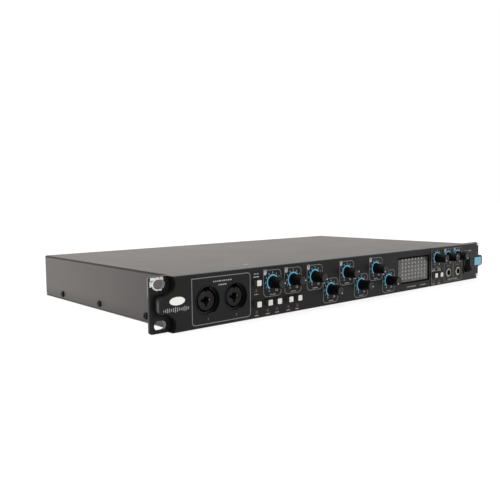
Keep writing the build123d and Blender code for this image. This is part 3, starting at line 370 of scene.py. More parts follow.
def lit_slot_walls(look, x, y, side_x):
    """The walls of the left slots that face outwards, with a painted highlight in grey."""
    in_slot = look.inside(x, -236.0 * MM, -224.0 * MM)
    in_ear = look.inside(y, EAR_FRONT + 0.1 * MM, 0.1 * MM)
    return look.both(in_slot, look.span(side_x, -0.2, -0.6), in_ear)


def rear_edge(look, x, y, z):
    """The rear edge of the left ear's end, rubbed pale, most towards its top."""
    at_end = look.under(x, EAR_END + 0.7 * MM)
    return look.both(at_end, look.inside(y, -1.1 * MM, 0.1 * MM), look.span(z, 4.0 * MM, 9.0 * MM, 0.2, 0.8))


def fascia_paint():
    """Satin black coat on the cast panel: a greyer section on the right, a dark groove, painted shade in the
    meter's frame, the scoops and beside the lobe, painted highlights on the lobe and slot walls, rubbed edges.
    """
    look = Look("fascia_paint", 0.4, specular=0.1)
    look.soft_edges(0.3 * MM)
    x, y, z = look.axes()
    side_x, _, side_z = look.facing()
    left_wall = look.span(side_x, -0.5, -0.95)
    on_ear = look.inside(y, EAR_FRONT - 0.2 * MM, EAR_FRONT + 0.25 * MM)
    dark = (0.0127, 0.0124, 0.0125)
    speckle = look.span(look.noise(2200.0, 2.0), 0.3, 0.7)
    paint = look.blend(speckle, scaled(dark, 0.8), scaled(dark, 1.25))
    haze = look.span(look.noise(30.0, 5.0, 0.6), 0.5, 0.85, 0.0, 0.4)
    paint = look.blend(haze, paint, scaled(dark, 1.7))
    # the monitor and headphone section is a shade greyer
    greyer = look.blend(speckle, (0.0145, 0.0142, 0.014), (0.02, 0.0196, 0.0193))
    paint = look.blend(look.over(x, SECTION_X), paint, greyer)
    # the groove is dark, and painted shade fills the meter's frame
    groove_and_frame_shade = groove_and_painted_frame_shade(look, x, y, z)
    paint = look.blend(groove_and_frame_shade, paint, (0.0015, 0.0015, 0.0016))
    # painted shade: the walls of the left scoops are painted black, and the ear's corner beside the lobe as dark
    unlit = (0.0012, 0.0012, 0.0012)
    scoop_wall_shade = look.both(look.inside(x, LOBE_END, SCOOP_END), left_wall, look.under(y, EAR_FRONT))
    paint = look.blend(scoop_wall_shade, paint, unlit)
    paint = look.blend(look.both(ear_corner_shadow(look, x, z), on_ear), paint, unlit)
    # painted highlight on the left lobe's outer end
    paint = look.blend(painted_lobe_highlight(look, x, y, z, left_wall), paint, (0.085, 0.085, 0.087))
    # upward faces along the top edge are painted paler
    dust_and_sheen = look.both(look.span(side_z, 0.5, 0.95, 0.0, 0.75), look.over(z, 20.0 * MM))
    paint = look.blend(dust_and_sheen, paint, (0.085, 0.083, 0.08))
    # painted highlight on the left slots' outward-facing walls
    paint = look.blend(lit_slot_walls(look, x, y, side_x), paint, (0.15, 0.147, 0.142))
    paint = look.blend(rear_edge(look, x, y, z), paint, (0.26, 0.25, 0.24))
    # bare steel shows where the ears are worn
    worn = look.both(ear_wear(look, x, z), on_ear)
    steel = look.blend(look.noise(500.0, 3.0), (0.8, 0.82, 0.8), (0.55, 0.57, 0.55))
    look.color(look.blend(worn, paint, steel))
    look.set("Metallic", look.both(worn, 0.55))
    # recesses and scoops are dull
    dull = look.math("MULTIPLY_ADD", look.either(groove_and_frame_shade, scoop_wall_shade), 0.45, 0.4)
    look.set("Roughness", look.math("MULTIPLY_ADD", worn, 0.05, dull))
    look.bump(look.noise(1900.0, 3.0, 0.6), 0.02 * MM, 0.7)
    look.bump(look.both(worn, -1.0), 0.06 * MM, 0.8)
    return look.material


def ink(name, color, wear=0.6):
    """Screen-printed ink with thin spots."""
    look = Look(name, 0.5)
    thin = look.span(look.noise(1800.0, 3.0, 0.6), 0.35, 0.62)
    look.color(look.blend(thin, scaled(color, wear), color))
    look.bump(look.noise(3000.0, 2.0), 0.01 * MM)
    return look.material


def smoked_lens():
    """Smoked meter window: grey, cloudy and mottled, with painted shadow along its top."""
    look = Look("meter_lens_smoke", 0.3, specular=0.25)
    cloud = look.span(look.noise(60.0, 3.0), 0.3, 0.7)
    grain = look.span(look.noise(420.0, 3.0, 0.65), 0.35, 0.65)
    base = look.blend(cloud, (0.078, 0.076, 0.073), (0.1, 0.097, 0.093))
    smoke = look.blend(look.both(grain, 0.75), base, (0.03, 0.029, 0.028))
    z = look.axes()[2]
    # painted shadow along the lens's top, under the frame's upper edge
    top_shadow = look.span(z, WINDOW_TOP - 1.1 * MM, WINDOW_TOP - 0.5 * MM, 0.0, 0.9)
    look.color(look.blend(top_shadow, smoke, (0.002, 0.002, 0.002)))
    look.bump(look.noise(2400.0, 2.0), 0.01 * MM, 0.4)
    look.shader.inputs["Coat Weight"].default_value = 0.1
    look.shader.inputs["Coat Roughness"].default_value = 0.2
    return look.material


def resin(name, color):
    """Diffused lamp resin, faintly swirled."""
    look = Look(name, 0.22, coat=0.4)
    swirl = look.span(look.noise(1200.0, 2.0), 0.3, 0.7)
    look.color(look.blend(swirl, scaled(color, 0.8), scaled(color, 1.2)))
    look.shader.inputs["Subsurface Weight"].default_value = 0.2
    look.shader.inputs["Subsurface Scale"].default_value = 0.4 * MM
    return look.material


def shell_plastic():
    """Connector shell: deep black, with a painted highlight in patches on the upward faces along the bottom of its
    mouth.
    """
    look = Look("shell_black", 0.32, specular=0.2)
    drift = look.span(look.noise(90.0, 2.0), 0.35, 0.65)
    black = look.blend(drift, (0.003, 0.003, 0.0032), (0.0042, 0.0042, 0.0044))
    patches = look.span(look.noise(500.0, 3.0), 0.3, 0.6)
    # painted highlight on upward faces, broken into patches
    dust_and_sheen = look.both(look.span(look.facing()[2], 0.8, 0.97), patches)
    look.color(look.blend(dust_and_sheen, black, (0.07, 0.068, 0.066)))
    look.bump(look.noise(3000.0, 2.0, 0.7), 0.012 * MM)
    return look.material


def knob_plastic():
    """Black knob: fine matt skin, uneven gloss and a little dust."""
    look = Look("knob_black", 0.42, specular=0.07)
    skin = look.span(look.noise(700.0, 3.0), 0.3, 0.7)
    base = look.blend(skin, (0.0014, 0.0014, 0.0016), (0.0028, 0.0028, 0.003))
    dust_and_sheen = look.span(look.noise(420.0, 5.0, 0.65), 0.62, 0.8, 0.0, 0.2)
    look.color(look.blend(dust_and_sheen, base, (0.02, 0.0195, 0.019)))
    look.set("Roughness", look.span(look.noise(300.0, 3.0), 0.3, 0.7, 0.34, 0.5))
    look.bump(look.noise(4200.0, 2.0, 0.7), 0.012 * MM, 0.6)
    return look.material


def rocker_plastic():
    """Polished black rocker, its upper edges given a painted highlight."""
    look = Look("rocker_black", 0.2, specular=0.008)
    skin = look.span(look.noise(90.0, 2.0), 0.35, 0.65)
    black = look.blend(skin, (0.0026, 0.0026, 0.0027), (0.0036, 0.0036, 0.0037))
    # painted highlight on upward-facing edges
    glint = look.span(look.facing()[2], 0.45, 0.9, 0.0, 0.8)
    look.color(look.blend(glint, black, (0.12, 0.12, 0.122)))
    look.set("Roughness", look.span(look.noise(260.0, 4.0), 0.4, 0.75, 0.15, 0.29))
    look.bump(look.noise(2600.0, 2.0, 0.7), 0.008 * MM)
    return look.material


def knob_face_metal():
    """Knob face: dark satin disc, its tone and gloss drifting a little."""
    look = Look("knob_face_satin", 0.4, metallic=0.4, specular=0.3)
    tone = look.span(look.noise(300.0, 3.0), 0.3, 0.7)
    look.color(look.blend(tone, (0.013, 0.0125, 0.012), (0.023, 0.0222, 0.0214)))
    look.set("Roughness", look.span(look.noise(150.0, 3.0), 0.3, 0.7, 0.34, 0.48))
    look.bump(look.noise(3000.0, 2.0, 0.6), 0.008 * MM, 0.5)
    return look.material


def ivory_plate():
    """The ivory face plate of a button, yellowed and grimy in patches."""
    look = Look("button_ivory", 0.42, specular=0.3)
    drift = look.span(look.noise(400.0, 3.0), 0.3, 0.7)
    ivory = look.blend(drift, (0.6, 0.585, 0.555), (0.72, 0.705, 0.67))
    grime = look.span(look.noise(900.0, 4.0, 0.6), 0.55, 0.75, 0.0, 0.25)
    look.color(look.blend(grime, ivory, (0.5, 0.47, 0.41)))
    look.bump(look.noise(3200.0, 2.0), 0.01 * MM)
    return look.material


def jack_metal():
    """Jack: plated barrel at the panel, black body behind it."""
    look = Look("jack_plated", 0.3, specular=0.4)
    y = look.axes()[1]
    plated = look.under(y, FACE + 1.0 * MM)
    tone = look.span(look.noise(900.0, 3.0), 0.3, 0.7)
    metal = look.blend(tone, (0.15, 0.128, 0.104), (0.23, 0.2, 0.163))
    look.color(look.blend(plated, (0.008, 0.008, 0.008), metal))
    look.set("Metallic", look.both(plated, 0.9))
    look.set("Roughness", look.span(look.noise(1500.0, 2.0), 0.3, 0.7, 0.24, 0.4))
    look.bump(look.noise(2400.0, 2.0), 0.008 * MM, 0.4)
    return look.material


def circuit_board():
    """Solder resist with raised, lighter copper runs under it."""
    look = Look("board_green", 0.35, coat=0.3)
    runs = look.span(look.noise(320.0, 1.0, 0.4, (4.0, 1.0, 1.0)), 0.48, 0.52)
    look.color(look.blend(runs, (0.012, 0.085, 0.03), (0.02, 0.14, 0.055)))
    look.bump(runs, 0.03 * MM, 0.4)
    return look.material


def give(look, *names):
    """Gives a material to CAD nodes."""
    for name in names:
        slots = nodes[name].data.materials
        slots.clear()
        slots.append(look)


give(coated_steel("cover_coat", (0.089, 0.081, 0.0765), 0.46, top=(0.088, 0.076, 0.0655)), "top_cover")
give(coated_steel("base_coat", (0.07, 0.066, 0.062), 0.5), "chassis_base")
give(coated_steel("rear_coat", (0.016, 0.016, 0.0165), 0.46, 1900.0, 0.03 * MM, 0.015), "rear_panel")
give(fascia_paint(), "front_panel")
give(knob_plastic(), *GAIN_KNOBS, *SMALL_KNOBS)
give(plastic("button_grey", (0.042, 0.04, 0.038), 0.45, depth=0.012 * MM), *BUTTONS)
give(shell_plastic(), "front_combo_shells", "rear_combo_shells")
insert_grey = plastic("insert_grey", (0.0105, 0.0103, 0.0102), 0.5, specular=0.15)
give(insert_grey, "front_combo_inserts", "rear_combo_inserts")
give(bare_metal("contact_gold", (0.16, 0.1, 0.03), 0.3), "combo_contacts")
give(jack_metal(), "headphone_jacks")
give(plastic("jack_black", (0.009, 0.009, 0.009), 0.4), "line_out_jacks")
nickel = bare_metal("nut_nickel", (0.72, 0.67, 0.6), 0.3, grain=1800.0)
give(nickel, "headphone_jack_nuts", "line_out_jack_nuts")
black_screw = bare_metal("screw_black_oxide", (0.011, 0.011, 0.0115), 0.38, grain=1600.0)
give(black_screw, "case_screws", "rear_screws")
give(ink("badge_blue_lacquer", (0.13, 0.395, 0.54), 0.92), "blue_badge")
give(ink("badge_pale_lacquer", (0.82, 0.81, 0.77), 0.93), "oval_badge")
give(smoked_lens(), "meter_lens")
give(resin("meter_led_resin", (0.25, 0.24, 0.23)), "meter_leds")
give(resin("lamp_red", (0.12, 0.012, 0.014)), "button_lamps")
give(resin("lamp_green", (0.05, 0.12, 0.09)), "status_lamps")
give(plastic("midi_black", (0.009, 0.009, 0.009), 0.38), "midi_sockets")
give(bare_metal("phono_gold", (0.86, 0.66, 0.3), 0.24), "rca_sockets")
give(plastic("optical_black", (0.011, 0.011, 0.012), 0.42), "optical_ports")
give(plastic("flap_grey", (0.03, 0.03, 0.032), 0.4), "optical_flap_1", "optical_flap_2")
give(bare_metal("port_steel", (0.62, 0.62, 0.62), 0.32, (1, 6, 1)), "data_ports")
give(plastic("inlet_black", (0.009, 0.009, 0.009), 0.4), "mains_inlet")
give(bare_metal("blade_brass", (0.72, 0.6, 0.35), 0.3), "inlet_blades", "pcb_standoffs")
give(rocker_plastic(), "power_rocker")
give(plastic("bezel_black", (0.0075, 0.0074, 0.0073), 0.4, specular=0.14), "rocker_housing")
give(bare_metal("pot_can", (0.55, 0.55, 0.55), 0.35), "potentiometers")
give(plastic("switch_body", (0.03, 0.03, 0.03), 0.45), "button_switches")
give(circuit_board(), "control_pcb", "main_pcb", "psu_board")
give(bare_metal("core_iron", (0.2, 0.18, 0.16), 0.5), "psu_transformer")
give(plastic("capacitor_sleeve", (0.015, 0.015, 0.03), 0.25), "psu_capacitors")
give(plastic("chip_black", (0.012, 0.012, 0.013), 0.5), "main_chips")
give(plastic("ribbon_grey", (0.3, 0.3, 0.3), 0.45, 1500.0), "ribbon_cable")

ink_white = ink("ink_white", (0.56, 0.55, 0.54), 0.7)
ink_grey = ink("ink_grey", (0.19, 0.19, 0.19), 0.75)
ink_faint = ink("ink_faint", (0.115, 0.114, 0.112), 0.8)
ink_dim = ink("ink_dim", (0.36, 0.355, 0.35), 0.7)
ink_tag = ink("ink_tag", (0.43, 0.425, 0.45), 0.8)
ink_blue = ink("ink_blue", (0.095, 0.5, 0.76), 0.92)
ink_dark = ink("ink_dark", (0.02, 0.02, 0.02))
# black for painted shadows: the lamp rings and the lens corner
painted_shadow_black = ink("painted_shadow_black", (0.0015, 0.0015, 0.0015))


# ---------------------------------------------------------------- flat printed shapes
class Print:
    """Collects flat shapes on a face and makes them one thin piece of ink."""

    def __init__(self, name, look, slot, body="root", origin=(0, 0, 0), rear=False):
        self.name = name
        self.look = look
        self.slot = slot
        self.body = body
        self.origin = Vector(origin)
        self.rear = rear
        self.mesh = bmesh.new()

    def point(self, u, v, out):
        """A point u to the viewer's right and v up on the face, out of it by out."""
        if self.rear:
            return self.origin + Vector((-u, out, v))
        return self.origin + Vector((u, -out, v))

    def slab(self, outline, thick=INK):
        """A closed outline as a thin slab standing on the face."""
        low = [self.mesh.verts.new(self.point(u, v, 0)) for u, v in outline]
        high = [self.mesh.verts.new(self.point(u, v, thick)) for u, v in outline]
        self.mesh.faces.new(low)
        self.mesh.faces.new(high[::-1])
        count = len(outline)
        for i in range(count):
            j = (i + 1) % count
            self.mesh.faces.new((low[i], high[i], high[j], low[j]))

    def band(self, inner, outer, closed=True):
        """A strip between two outlines with as many points each."""
        rings = [[self.mesh.verts.new(self.point(u, v, out)) for u, v in line]
                 for line, out in ((inner, 0), (outer, 0), (outer, INK), (inner, INK))]
        count = len(inner)
        for i in range(count if closed else count - 1):
            j = (i + 1) % count
            for a, b in ((0, 1), (1, 2), (2, 3), (3, 0)):
                self.mesh.faces.new((rings[a][i], rings[a][j], rings[b][j], rings[b][i]))
        if not closed:
            for i in (0, count - 1):
                self.mesh.faces.new([ring[i] for ring in rings])

    def bar(self, u, v, width, height, turn=0.0):
        """A rectangle about (u, v), turned clockwise by turn degrees."""
        s, c = math.sin(math.radians(turn)), math.cos(math.radians(turn))
        corners = [(i * width / 2, k * height / 2) for i, k in ((-1, -1), (1, -1), (1, 1), (-1, 1))]
        self.slab([(u + a * c + b * s, v - a * s + b * c) for a, b in corners])

    def disc(self, u, v, radius, steps=20):
        ring = [2 * math.pi * i / steps for i in range(steps)]
        self.slab([(u + radius * math.cos(t), v + radius * math.sin(t)) for t in ring])

    def frame(self, left, bottom, right, top, radii, width=LINE):
        """An outlined box; radii are those of the corners from bottom left round to top left."""
        inner_radii = [max(radius - width, 0) for radius in radii]
        inner = rounded(left + width, bottom + width, right - width, top - width, inner_radii)
        self.band(inner, rounded(left, bottom, right, top, radii))

    def arc(self, u, v, inner, outer, start, end, steps=44):
        """An arc about (u, v), angles clockwise from straight up, in degrees."""
        turns = [math.radians(start + (end - start) * i / steps) for i in range(steps + 1)]
        lines = [[(u + r * math.sin(t), v + r * math.cos(t)) for t in turns] for r in (inner, outer)]
        self.band(lines[0], lines[1], closed=False)

    def number(self, text, u, v, size):
        """A numeral centred on (u, v)."""
        curve = bpy.data.curves.new("numeral", "FONT")
        curve.body = text
        curve.size = size
        curve.align_x = "CENTER"
        curve.align_y = "CENTER"
        curve.resolution_u = 3
        curve.extrude = INK / 2
        holder = bpy.data.objects.new("numeral", curve)
        bpy.context.scene.collection.objects.link(holder)
        bpy.context.view_layer.update()
        flat = bpy.data.meshes.new_from_object(holder.evaluated_get(bpy.context.evaluated_depsgraph_get()))
        start = len(self.mesh.verts)
        self.mesh.from_mesh(flat)
        self.mesh.verts.ensure_lookup_table()
        for vert in self.mesh.verts[start:]:
            a, b, out = vert.co
            vert.co = self.point(u + a, v + b, out + INK / 2)
        bpy.data.objects.remove(holder)
        bpy.data.meshes.remove(flat)
        bpy.data.curves.remove(curve)

    def words(self, u, v, width, height, seed):
        """A line of plain dashes where the real panel carries a caption."""
        rng = random.Random(seed)
        gap = 0.45 * height
        lengths = []
        while sum(lengths) + gap * max(len(lengths) - 1, 0) < width:
            lengths.append(height * rng.uniform(0.5, 1.7))
        shrink = width / (sum(lengths) + gap * (len(lengths) - 1))
        left = u - width / 2
        for length in lengths:
            self.bar(left + length * shrink / 2, v, length * shrink, height * 0.62)
            left += (length + gap) * shrink

    def done(self):
        """Makes the piece, which rides on its body."""
        bmesh.ops.remove_doubles(self.mesh, verts=self.mesh.verts, dist=1e-7)
        bmesh.ops.recalc_face_normals(self.mesh, faces=self.mesh.faces)
        data = bpy.data.meshes.new(self.name)
        self.mesh.to_mesh(data)
        self.mesh.free()
        piece = bpy.data.objects.new(self.name, data)
        bpy.context.scene.collection.objects.link(piece)
        data.materials.append(self.look)
        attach(piece, self.body)


def rounded(left, bottom, right, top, radii, steps=6):
    """The outline of a box with a radius for each corner, anticlockwise from bottom left."""
    corners = ((left, bottom, 180), (right, bottom, 270), (right, top, 0), (left, top, 90))
    signs = ((1, 1), (-1, 1), (-1, -1), (1, -1))
    points = []
    for (x, z, start), (sx, sz), radius in zip(corners, signs, radii):
        for i in range(steps + 1):
            t = math.radians(start + 90 * i / steps)
            points.append((x + sx * radius + radius * math.cos(t), z + sz * radius + radius * math.sin(t)))
    return points


face = (0, FACE, 0)
white = Print("print_white", ink_white, "badge_white", origin=face)
grey = Print("print_outlines", ink_grey, "badge_white", origin=face)
dim = Print("print_captions", ink_dim, "badge_white", origin=face)
faint = Print("print_faint", ink_faint, "badge_white", origin=face)
blue = Print("print_scales", ink_blue, "badge_blue", origin=face)
tags = Print("print_tags", ink_tag, "badge_white", origin=face)
dark = Print("print_tag_numbers", ink_dark, "fascia_paint", origin=(0, FACE - INK, 0))
black = Print("print_lamp_ring_shade", painted_shadow_black, "fascia_paint", origin=face)

# ---- gain, monitor and headphone scales
SCALE_TURN = 150.0  # degrees from straight up to the scale's 0 and 10
ARC_TURN = 145.0
ARC_IN = 5.7 * MM
ARC_OUT = 7.0 * MM
NUMERALS = (8.6 * MM, 8.4 * MM)  # how far the numerals stand from the knob's middle, across and up
KNOB_CAPTION_DROP = 10.6 * MM
OUTLINE = (11.0 * MM, 12.4 * MM, 10.2 * MM, 11.0 * MM)  # from a gain knob's middle: left, down, right, up
OUTLINE_R = 4.2 * MM


def tag(left, top, text):
    """A pale shield with a numeral, hung from an outline's corner."""
    outline = ((0, 0), (0.4, -3.2), (1.4, -4.7), (2.8, -4.7), (3.9, -3.2), (4.0, 0))
    tags.slab([(left + u * MM, top + v * MM) for u, v in outline])
    dark.number(text, left + 2.0 * MM, top - 2.1 * MM, 3.0 * MM)


def knob_scale(knob, number=None):
    """Arc, 0 to 10 scale, outline and channel tag round one knob."""
    spot = centre(knob)
    blue.arc(spot.x, spot.z, ARC_IN, ARC_OUT, -ARC_TURN, ARC_TURN)
    for step in range(11):
        t = math.radians(-SCALE_TURN + 2 * SCALE_TURN * step / 10)
        size = (2.4 if step < 10 else 3.0) * MM
        white.number(str(step), spot.x + NUMERALS[0] * math.sin(t), spot.z + NUMERALS[1] * math.cos(t), size)
    caption = dim if number else faint
    caption.words(spot.x, spot.z - KNOB_CAPTION_DROP, 6.5 * MM, 1.3 * MM, knob)
    if number:
        left, bottom = spot.x - OUTLINE[0], spot.z - OUTLINE[1]
        right, top = spot.x + OUTLINE[2], spot.z + OUTLINE[3]
        grey.frame(left, bottom, right, top, (OUTLINE_R, OUTLINE_R, OUTLINE_R, 0))
        tag(left, top + 0.4 * MM, str(number))


for count, knob in enumerate(GAIN_KNOBS, 1):
    knob_scale(knob, count)
for knob in SMALL_KNOBS:
    knob_scale(knob)

# ---- input box round the two front connectors
INPUT_LEFT, INPUT_RIGHT = -208.3 * MM, -147.7 * MM
CAPTION_X = -177.6 * MM
grey.frame(INPUT_LEFT, -19.2 * MM, INPUT_RIGHT, 18.5 * MM, (3.2 * MM, 3.2 * MM, 3.2 * MM, 0), 0.65 * MM)
dim.words(CAPTION_X, 14.3 * MM, 19 * MM, 1.6 * MM, "inputs")
dim.words(CAPTION_X, 11.2 * MM, 8 * MM, 1.7 * MM, "line")
inserts_low, inserts_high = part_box("front_combo_inserts")
INSERT_R = 8.0 * MM
for count, side in enumerate((inserts_low.x + INSERT_R, inserts_high.x - INSERT_R), 1):
    dim.number(str(count), side, -15.4 * MM, 2.4 * MM)

# ---- button captions, and a ring of painted shade round each lamp
LAMP_DROP = 7.0 * MM  # from a button's middle down to its lamp's
CAPTION_DROP = 10.1 * MM  # down to the caption below it
CAPTION_RISE = 4.9 * MM  # up to the nearer caption above it
for button in BUTTONS:
    spot = centre(button)
    # painted shade: a black ring round the lamp
    black.arc(spot.x, spot.z - LAMP_DROP, 1.1 * MM, 1.8 * MM, 0, 360)
    dim.words(spot.x, spot.z - CAPTION_DROP, 4.4 * MM, 1.3 * MM, button)
top_button = centre("button_1")
dim.words(top_button.x, top_button.z + 7.4 * MM, 5.2 * MM, 1.4 * MM, "pair upper")
white.words(top_button.x, top_button.z + CAPTION_RISE, 5.6 * MM, 1.4 * MM, "pair lower")
for button in BUTTONS[6:]:
    spot = centre(button)
    white.words(spot.x, spot.z + CAPTION_RISE, 6.8 * MM, 1.4 * MM, button + "over")
    dim.words(spot.x, spot.z + 7.0 * MM, 5.5 * MM, 1.3 * MM, button + "above")

# ---- monitor and headphone section
grey.bar(SECTION_X, 0, 0.6 * MM, 41.0 * MM)
HEADPHONE_LEFT = (149.4 * MM, 169.6 * MM)
HEADPHONE_SIZE = (19.2 * MM, 38.8 * MM)
for count, left in enumerate(HEADPHONE_LEFT, 1):
    right, top = left + HEADPHONE_SIZE[0], HEADPHONE_SIZE[1] / 2
    faint.frame(left, -top, right, top, (3.0 * MM, 3.0 * MM, 3.0 * MM, 0))
    tag(left - 0.3 * MM, top + 0.2 * MM, str(count))
jacks = (centre("headphone_knob_1").x, centre("headphone_knob_2").x)
dim.words(sum(jacks) / 2, -17.2 * MM, jacks[1] - jacks[0], 1.5 * MM, "jacks")
dim.words(205.6 * MM, 13.7 * MM, 8.0 * MM, 1.5 * MM, "power")
for left, width in ((79.2, 14.0), (103.2, 8.8)):
    dim.words((left + width / 2) * MM, -17.8 * MM, width * MM, 1.5 * MM, f"status {left}")

# ---- left lobe: a plain row of level bars below the oval badge
BARS_LEFT, BARS_Z = -234.0 * MM, -3.7 * MM
BAR_STEP = 1.75 * MM
BAR_WIDTH = 0.66 * MM
lobe_bars = (1.6, 2.6, 3.6, 2.9, 2.0, 3.2, 4.2, 3.4, 2.4, 1.8, 2.8, 3.8, 3.0, 2.0)
for count, tall in enumerate(lobe_bars):
    dim.bar(BARS_LEFT + BAR_STEP * count, BARS_Z, BAR_WIDTH, tall * MM)

for layer in (white, grey, faint, dim, blue, tags, dark, black):
    layer.done()

# ---- blue badge: plain dashes
badge_front = (0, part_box("blue_badge")[0].y, 0)
spot = centre("blue_badge")
dashes = Print("blue_badge_dashes", ink("badge_dash", (0.3, 0.42, 0.46)), "badge_white", origin=badge_front)
for rise, width in ((2.3, 9.5), (0.4, 7.5), (-1.5, 9.0)):
    dashes.words(spot.x, spot.z + rise * MM, width * MM, 1.1 * MM, f"badge {rise}")
dashes.done()

# ---- ivory face plates of the buttons
plate_look = ivory_plate()
PLATE_INSET = (0.06 * MM, 0.12 * MM)  # from the cap's edge, across and up
PLATE_R = 0.65 * MM
for button in BUTTONS:
    low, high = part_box(button)
    plate = Print(f"{button}_plate", plate_look, "cap_plastic", button, (0, low.y, 0))
    left, right = low.x + PLATE_INSET[0], high.x - PLATE_INSET[0]
    bottom, top = low.z + PLATE_INSET[1], high.z - PLATE_INSET[1]
    plate.slab(rounded(left, bottom, right, top, [PLATE_R] * 4), 2 * INK)
    plate.done()


# ---------------------------------------------------------------- meter
lens_front = (0, lens_low.y, 0)
dots = Print("meter_windows", resin("meter_dot", (0.25, 0.242, 0.236)), "lamp_clear", origin=lens_front)
marks = Print("meter_numbers", ink("meter_ink", (0.2, 0.194, 0.19)), "badge_white", origin=lens_front)
mask = Print("meter_corner_shadow", painted_shadow_black, "fascia_paint", origin=lens_front)
# a painted shadow fills the window's upper right corner
outline = ((-7.0, 0), (0, 0), (0, -5.4), (-2.4, -4.8), (-4.4, -2.2))
mask.slab([(WINDOW_RIGHT + u * MM, WINDOW_TOP + v * MM) for u, v in outline], 2 * INK)
mask.done()
COLUMNS = 8
ROWS = 6
LED_R = 1.3 * MM
leds_low, leds_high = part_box("meter_leds")
step_x = (leds_high.x - leds_low.x - 2 * LED_R) / (COLUMNS - 1)
step_z = (leds_high.z - leds_low.z - 2 * LED_R) / (ROWS - 1)
for column in range(COLUMNS):
    x = leds_low.x + LED_R + step_x * column
    for row in range(ROWS):
        dots.disc(x, leds_low.z + LED_R + step_z * row, 1.2 * MM)
    marks.number(str(column + 1), x, leds_low.z - 1.7 * MM, 2.0 * MM)
dots.done()
marks.done()


# ---------------------------------------------------------------- rear panel print
places = {mount["name"]: Vector(mount["pos_m"]) for mount in frame["record"]["mounts"]}
rear = (0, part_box("rear_panel")[1].y, 0)
rear_white = Print("print_rear_numbers", ink_white, "badge_white", origin=rear, rear=True)
rear_lines = Print("print_rear_outlines", ink_grey, "badge_white", origin=rear, rear=True)


def rear_group(names, reach, above, first=1):
    """Outline round a group of rear sockets, a numeral above each from first on, and a dashed caption."""
    spots = [places[name] for name in names]
    left, right = min(-p.x for p in spots) - reach.x, max(-p.x for p in spots) + reach.x
    bottom, top = min(p.z for p in spots) - reach.y, max(p.z for p in spots) + reach.y
    rear_lines.frame(left, bottom, right, top, [1.5 * MM] * 4, 0.4 * MM)
    for count, spot in enumerate(spots, first):
        rear_white.number(str(count), -spot.x, spot.z + above, 2.6 * MM)
    rear_white.words((left + right) / 2, bottom + 1.9 * MM, (right - left) * 0.45, 1.4 * MM, names[0])


rear_group([f"rear_combo_{i}_jack" for i in range(1, 7)], Vector((13.4, 18.6)) * MM, 14.6 * MM, 3)
rear_group([f"line_out_{i}" for i in range(1, 11)], Vector((8.2, 10.9)) * MM, 8.2 * MM)
rear_group(["midi_1", "midi_2"], Vector((10.0, 14.0)) * MM, 11.2 * MM)
rear_group(["coaxial_1_sleeve", "coaxial_2_sleeve"], Vector((6.4, 9.8)) * MM, 6.6 * MM)
rear_group(["optical_1", "optical_2"], Vector((7.6, 14.0)) * MM, 9.0 * MM)
rear_group(["data_1", "data_2"], Vector((7.8, 9.0)) * MM, 5.4 * MM)
rear_white.done()
rear_lines.done()


# ---------------------------------------------------------------- knob faces and pointers
FACE_R = 3.95 * MM
POINTER_OUT = 2.75 * MM  # from the knob's middle to the pointer's


def knob_face(knob):
    """Satin face disc and white pointer, turned to the knob's rest angle."""
    spot = centre(knob)
    rest = -SCALE_TURN - joint_of[knob]["range_deg"][0]
    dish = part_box(knob)[0].y + 3 * INK  # just out of the knob's dished face
    disc = Print(f"{knob}_face", face_look, "knob_plastic", knob, (0, dish, 0))
    disc.disc(spot.x, spot.z, FACE_R, 48)
    disc.done()
    pointer = Print(f"{knob}_pointer", pointer_look, "badge_white", knob, (0, dish - INK, 0))
    t = math.radians(rest)
    u, v = spot.x + POINTER_OUT * math.sin(t), spot.z + POINTER_OUT * math.cos(t)
    pointer.bar(u, v, 0.75 * MM, 1.5 * MM, rest)
    pointer.done()


face_look = knob_face_metal()
pointer_look = ink("pointer_white", (0.7, 0.69, 0.66))
for knob in GAIN_KNOBS + SMALL_KNOBS:
    knob_face(knob)


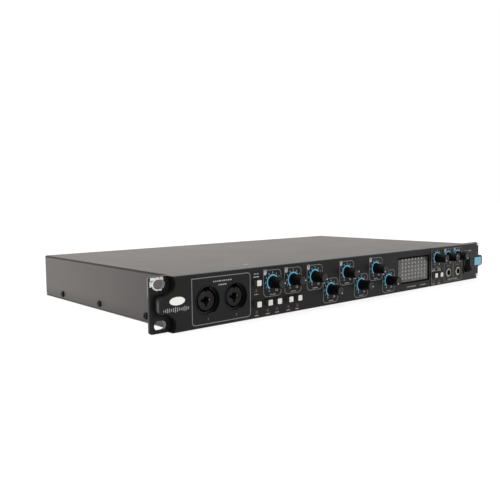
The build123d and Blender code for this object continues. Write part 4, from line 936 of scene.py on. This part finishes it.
# ---------------------------------------------------------------- stage, light, camera
def stage_floor():
    """White paper under the object, bright enough to run into the background."""
    data = bpy.data.meshes.new("floor")
    reach = 6.0
    corners = [(x * reach, y * reach, FLOOR_Z) for x, y in ((-1, -1), (1, -1), (1, 1), (-1, 1))]
    data.from_pydata(corners, [], [(0, 1, 2, 3)])
    floor = bpy.data.objects.new("floor", data)
    bpy.context.scene.collection.objects.link(floor)
    look = Look("floor_paper", 0.9, specular=0.1)
    look.color(look.blend(look.span(look.noise(3.0, 3.0), 0.3, 0.7), (0.19, 0.19, 0.19), (0.2, 0.2, 0.2)))
    look.shader.inputs["Emission Color"].default_value = (1.0, 1.0, 1.0, 1.0)
    look.shader.inputs["Emission Strength"].default_value = 0.82
    data.materials.append(look.material)


def soft_box(name, place, target, size, watts):
    """A white area light at a place, turned to a target."""
    light = bpy.data.lights.new(name, "AREA")
    light.shape = "RECTANGLE"
    light.size, light.size_y = size
    light.energy = watts
    lamp = bpy.data.objects.new(name, light)
    lamp.location = place
    lamp.rotation_euler = (Vector(target) - Vector(place)).to_track_quat("-Z", "Y").to_euler()
    bpy.context.scene.collection.objects.link(lamp)


def sky():
    """An even white background."""
    world = bpy.data.worlds.new("studio")
    world.use_nodes = True
    background = world.node_tree.nodes["Background"]
    background.inputs["Color"].default_value = (1.0, 1.0, 1.0, 1.0)
    background.inputs["Strength"].default_value = 1.0
    bpy.context.scene.world = world


def turn(degrees, axis):
    return Matrix.Rotation(math.radians(degrees), 4, axis)


def photo_camera():
    """The camera fitted to the photo: its place in metres, its turns in degrees."""
    place = (-0.47965, -0.39504, 0.08042)
    azimuth, pitch, roll = 40.83, -4.877, -0.639
    data = bpy.data.cameras.new("camera")
    data.sensor_width = 36.0
    data.lens = 43.83
    data.clip_start = 0.01
    camera = bpy.data.objects.new("camera", data)
    aim = turn(-azimuth, "Z") @ turn(90 + pitch, "X") @ turn(roll, "Z")
    camera.matrix_world = Matrix.Translation(place) @ aim
    bpy.context.scene.collection.objects.link(camera)
    bpy.context.scene.camera = camera


stage_floor()
sky()
soft_box("key_top", (-0.3, 0.5, 1.5), (0, 0.12, 0), (1.6, 1.2), 12.0)
soft_box("side_left", (-1.5, 0.4, 0.5), (-0.22, 0.12, 0), (0.9, 0.7), 8.0)
photo_camera()
bpy.context.scene.view_settings.view_transform = "Standard"
